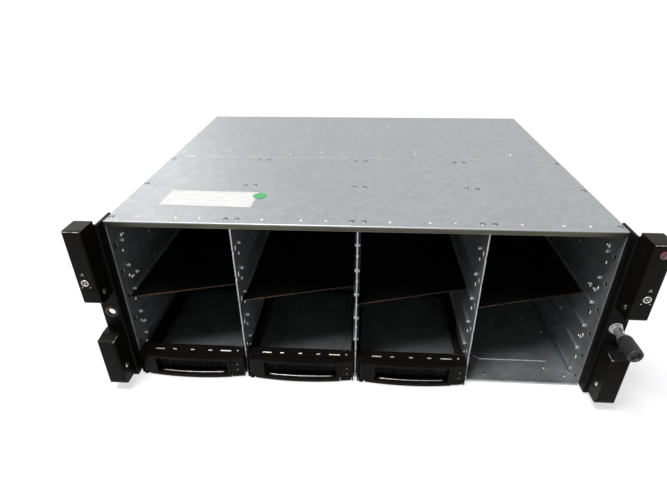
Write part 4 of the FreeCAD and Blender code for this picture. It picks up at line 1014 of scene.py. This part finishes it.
class SHELF_OT_carriers(bpy.types.Operator):
    """Drive carriers: bezels, swing handles, catches, earthing springs and lamp lenses"""

    bl_idname = "shelf.carriers"
    bl_label = "Drive carriers"

    def execute(self, context):
        edge = sizes().edge_round
        rounds = {"frame": edge * 0.6, "lever": edge, "catch": edge, "contact_strip": 0.15 * MM}
        for number in (1, 2, 3):
            for part, radius in rounds.items():
                softened("carrier_%s_%d" % (part, number), radius)
            self.lip_glint_bar(number)
            self.flange_marks(number)
            self.lamps(number)
        return {"FINISHED"}

    def lip_glint_bar(self, number):
        """Painted glint: a bright spring-metal bar along the handle's lower lip: y = arc - sqrt(arc^2 - x^2),
        thinned at both ends.
        """
        frame_low, frame_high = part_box("carrier_frame_%d" % number)
        radius, bow, half_chord = 0.5 * MM, 4.6 * MM, (frame_high.x - frame_low.x) / 2
        arc = (half_chord ** 2 + bow ** 2) / (2 * bow)
        across = np.linspace(-32, 33, 27)[:, None] * MM
        turn = np.linspace(0, 2 * np.pi, 8, endpoint=False)
        front = frame_low.y + arc - np.sqrt(arc ** 2 - across ** 2) + 1.15 * MM
        thinned = radius * np.clip((32.5 * MM - np.abs(across)) / (2 * MM), 0.05, 1)
        x = bay_x[number - 1] + across + 0 * turn
        y = front + thinned * np.cos(turn)
        z = frame_low.z + 4.3 * MM + thinned * np.sin(turn)
        shell = (np.stack([x, y, z], -1), grid_faces(len(across), len(turn), True))
        # The spring finish of this bar is a painted glint on the lip.
        add_piece("lip_edge_%d" % number, [shell], "spring", "carrier_lever_%d" % number, 60)

    def flange_marks(self, number):
        """Pin head, and a thin raised bright strip on the top flange that is a painted glint."""
        middle, top = bay_x[number - 1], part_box("carrier_frame_%d" % number)[1].z
        pin = domes([(middle + 46.8 * MM, front_y + 3.5 * MM, top)], 1.4 * MM, 0.3 * MM)
        # Painted glint: a raised bright strip on the flange.
        plan = rectangle(middle + 42 * MM, middle + 53 * MM, front_y + 8.3 * MM, front_y + 8.8 * MM)
        painted_glint_strip = slab(plan, top - 0.2 * MM, top + 0.12 * MM)
        add_piece("flange_marks_%d" % number, pin + [painted_glint_strip], "spring", "carrier_%d" % number)

    def lamps(self, number):
        """The two light pipes, with rounded ends."""
        low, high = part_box("carrier_light_pipes_%d" % number)
        radius, length = (high.x - low.x) / 2, high.y - low.y
        profile = [(0, 0), (radius * 0.6, 0.08 * MM), (radius * 0.95, 0.35 * MM), (radius * 0.98, length),
                   (0, length)]
        places = [((low.x + high.x) / 2, low.y, z) for z in (low.z + radius, high.z - radius)]
        pipes = add_piece("lamp_lenses_%d" % number, [revolved(profile, place, "y", 20) for place in places],
                          "clear lens", "carrier_%d" % number)
        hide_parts("carrier_light_pipes_%d" % number)


class SHELF_OT_rear_modules(bpy.types.Operator):
    """Rear modules: cases, fans, inlets, rockers, port cages and latches with eased edges"""

    bl_idname = "shelf.rear_modules"
    bl_label = "Rear modules"

    def execute(self, context):
        power_edges = {"case": 0.25, "rotor": 0.3, "inlet": 0.3, "rocker": 0.5, "latch": 0.4}
        interface_edges = {"case": 0.25, "ports": 0.12, "ejector": 0.4}
        for side in ("left", "right"):
            for part, radius in power_edges.items():
                softened("power_%s_%s" % (part, side), radius * MM)
        for level in ("lower", "upper"):
            for part, radius in interface_edges.items():
                softened("interface_%s_%s" % (part, level), radius * MM)
        return {"FINISHED"}


class SHELF_OT_stage(bpy.types.Operator):
    """Pale floor, soft lamps, white surroundings and the camera"""

    bl_idname = "shelf.stage"
    bl_label = "Stage"

    def execute(self, context):
        self.floor()
        self.world()
        self.lamp("overhead", (-0.45, -0.62, 1.9), (0, -0.1, 0.1), 0.6, 35)
        self.lamp("rear", (-1.5, 1.9, 1.1), (-0.1, 0.1, 0.1), 1.3, 7)
        self.camera()
        bpy.context.scene.view_settings.view_transform = "Standard"
        return {"FINISHED"}

    def camera(self):
        """Camera a little above the front, turned down towards the bays."""
        camera = linked("camera", bpy.data.cameras.new("camera"))
        camera.data.lens = 25.5433
        camera.data.sensor_width = 36
        camera.location = (0.003945, -0.540966, 0.357235)
        camera.rotation_euler = [math.radians(angle) for angle in (60.1828, 0.49907, 3.66652)]
        bpy.context.scene.camera = camera

    def floor(self):
        """Large flat floor under the part."""
        reach = 30.0
        corners = [(x, y, 0) for x, y in rectangle(-reach, reach, -reach, reach)]
        mesh = bpy.data.meshes.new("floor")
        mesh.from_pydata(corners, [], [(0, 1, 2, 3)])
        floor = linked("floor", mesh)
        mesh.materials.append(self.floor_finish())

    def floor_finish(self):
        """Pale floor that shows nearly white to the camera and to metal, and keeps the shadow."""
        r = Recipe("pale floor")
        r.finish(r.blend(r.noise(800, 2.0), (0.44, 0.44, 0.44, 1), (0.47, 0.47, 0.47, 1)), 0.9)
        distance = r.add("ShaderNodeVectorMath", operation="LENGTH")
        r.join(r.coordinates.outputs["Object"], distance.inputs[0])
        level = r.spread(distance.outputs["Value"], 0.5, 2.5, 0.66, 1.0)
        glow = r.add("ShaderNodeEmission")
        r.join(r.multiply(self.seen_directly(r.tree), level), glow.inputs["Strength"])
        total = r.add("ShaderNodeAddShader")
        r.join(r.shader.outputs["BSDF"], total.inputs[0])
        r.join(glow.outputs["Emission"], total.inputs[1])
        r.join(total.outputs["Shader"], r.tree.nodes["Material Output"].inputs["Surface"])
        return r.material

    def world(self):
        """White surroundings, strong where they are seen and weak as a light."""
        world = bpy.data.worlds.new("surroundings")
        world.use_nodes = True
        bpy.context.scene.world = world
        tree = world.node_tree
        strength = tree.nodes.new("ShaderNodeMapRange")
        strength.inputs["To Min"].default_value = 0.10
        strength.inputs["To Max"].default_value = 1.0
        tree.links.new(self.seen_directly(tree), strength.inputs["Value"])
        tree.links.new(strength.outputs["Result"], tree.nodes["Background"].inputs["Strength"])
        tree.nodes["Background"].inputs["Color"].default_value = (1, 1, 1, 1)

    def seen_directly(self, tree):
        """1 for camera, glossy and transmission rays, and 0 for the others."""
        path = tree.nodes.new("ShaderNodeLightPath")
        seen = path.outputs["Is Camera Ray"]
        for ray in ("Is Glossy Ray", "Is Transmission Ray"):
            either = tree.nodes.new("ShaderNodeMath")
            either.operation = "MAXIMUM"
            tree.links.new(seen, either.inputs[0])
            tree.links.new(path.outputs[ray], either.inputs[1])
            seen = either.outputs["Value"]
        return seen

    def lamp(self, name, place, aim, size, power):
        """Square lamp at a place, turned towards its aim."""
        light = bpy.data.lights.new(name, "AREA")
        light.energy = power
        light.size = size
        lamp = linked(name, light)
        lamp.location = place
        lamp.rotation_euler = (Vector(aim) - Vector(place)).to_track_quat("-Z", "Y").to_euler()


class SHELF_PT_panel(bpy.types.Panel):
    """Sizes, colours and build steps of the disk shelf"""

    bl_idname = "SHELF_PT_panel"
    bl_label = "Disk shelf"
    bl_space_type = "VIEW_3D"
    bl_region_type = "UI"
    bl_category = "Disk shelf"

    def draw(self, context):
        for group in (context.scene.shelf_sizes, context.scene.shelf_colours):
            box = self.layout.box()
            for key in group.__annotations__:
                box.prop(group, key)
        for operator in OPERATORS:
            self.layout.operator(operator.bl_idname)


OPERATORS = (
    SHELF_OT_finishes, SHELF_OT_sheets, SHELF_OT_cover_marks, SHELF_OT_labels, SHELF_OT_guides, SHELF_OT_ears,
    SHELF_OT_alarm_button, SHELF_OT_thumbscrew, SHELF_OT_carriers, SHELF_OT_rear_modules, SHELF_OT_stage,
)
CLASSES = (ShelfSizes, ShelfColours) + OPERATORS + (SHELF_PT_panel,)


def register():
    for item in CLASSES:
        bpy.utils.register_class(item)
    bpy.types.Scene.shelf_sizes = bpy.props.PointerProperty(type=ShelfSizes)
    bpy.types.Scene.shelf_colours = bpy.props.PointerProperty(type=ShelfColours)


def unregister():
    del bpy.types.Scene.shelf_colours
    del bpy.types.Scene.shelf_sizes
    for item in reversed(CLASSES):
        bpy.utils.unregister_class(item)


def main():
    register()
    for operator in OPERATORS:
        group, name = operator.bl_idname.split(".")
        getattr(getattr(bpy.ops, group), name)()


if __name__ == "__main__":
    main()
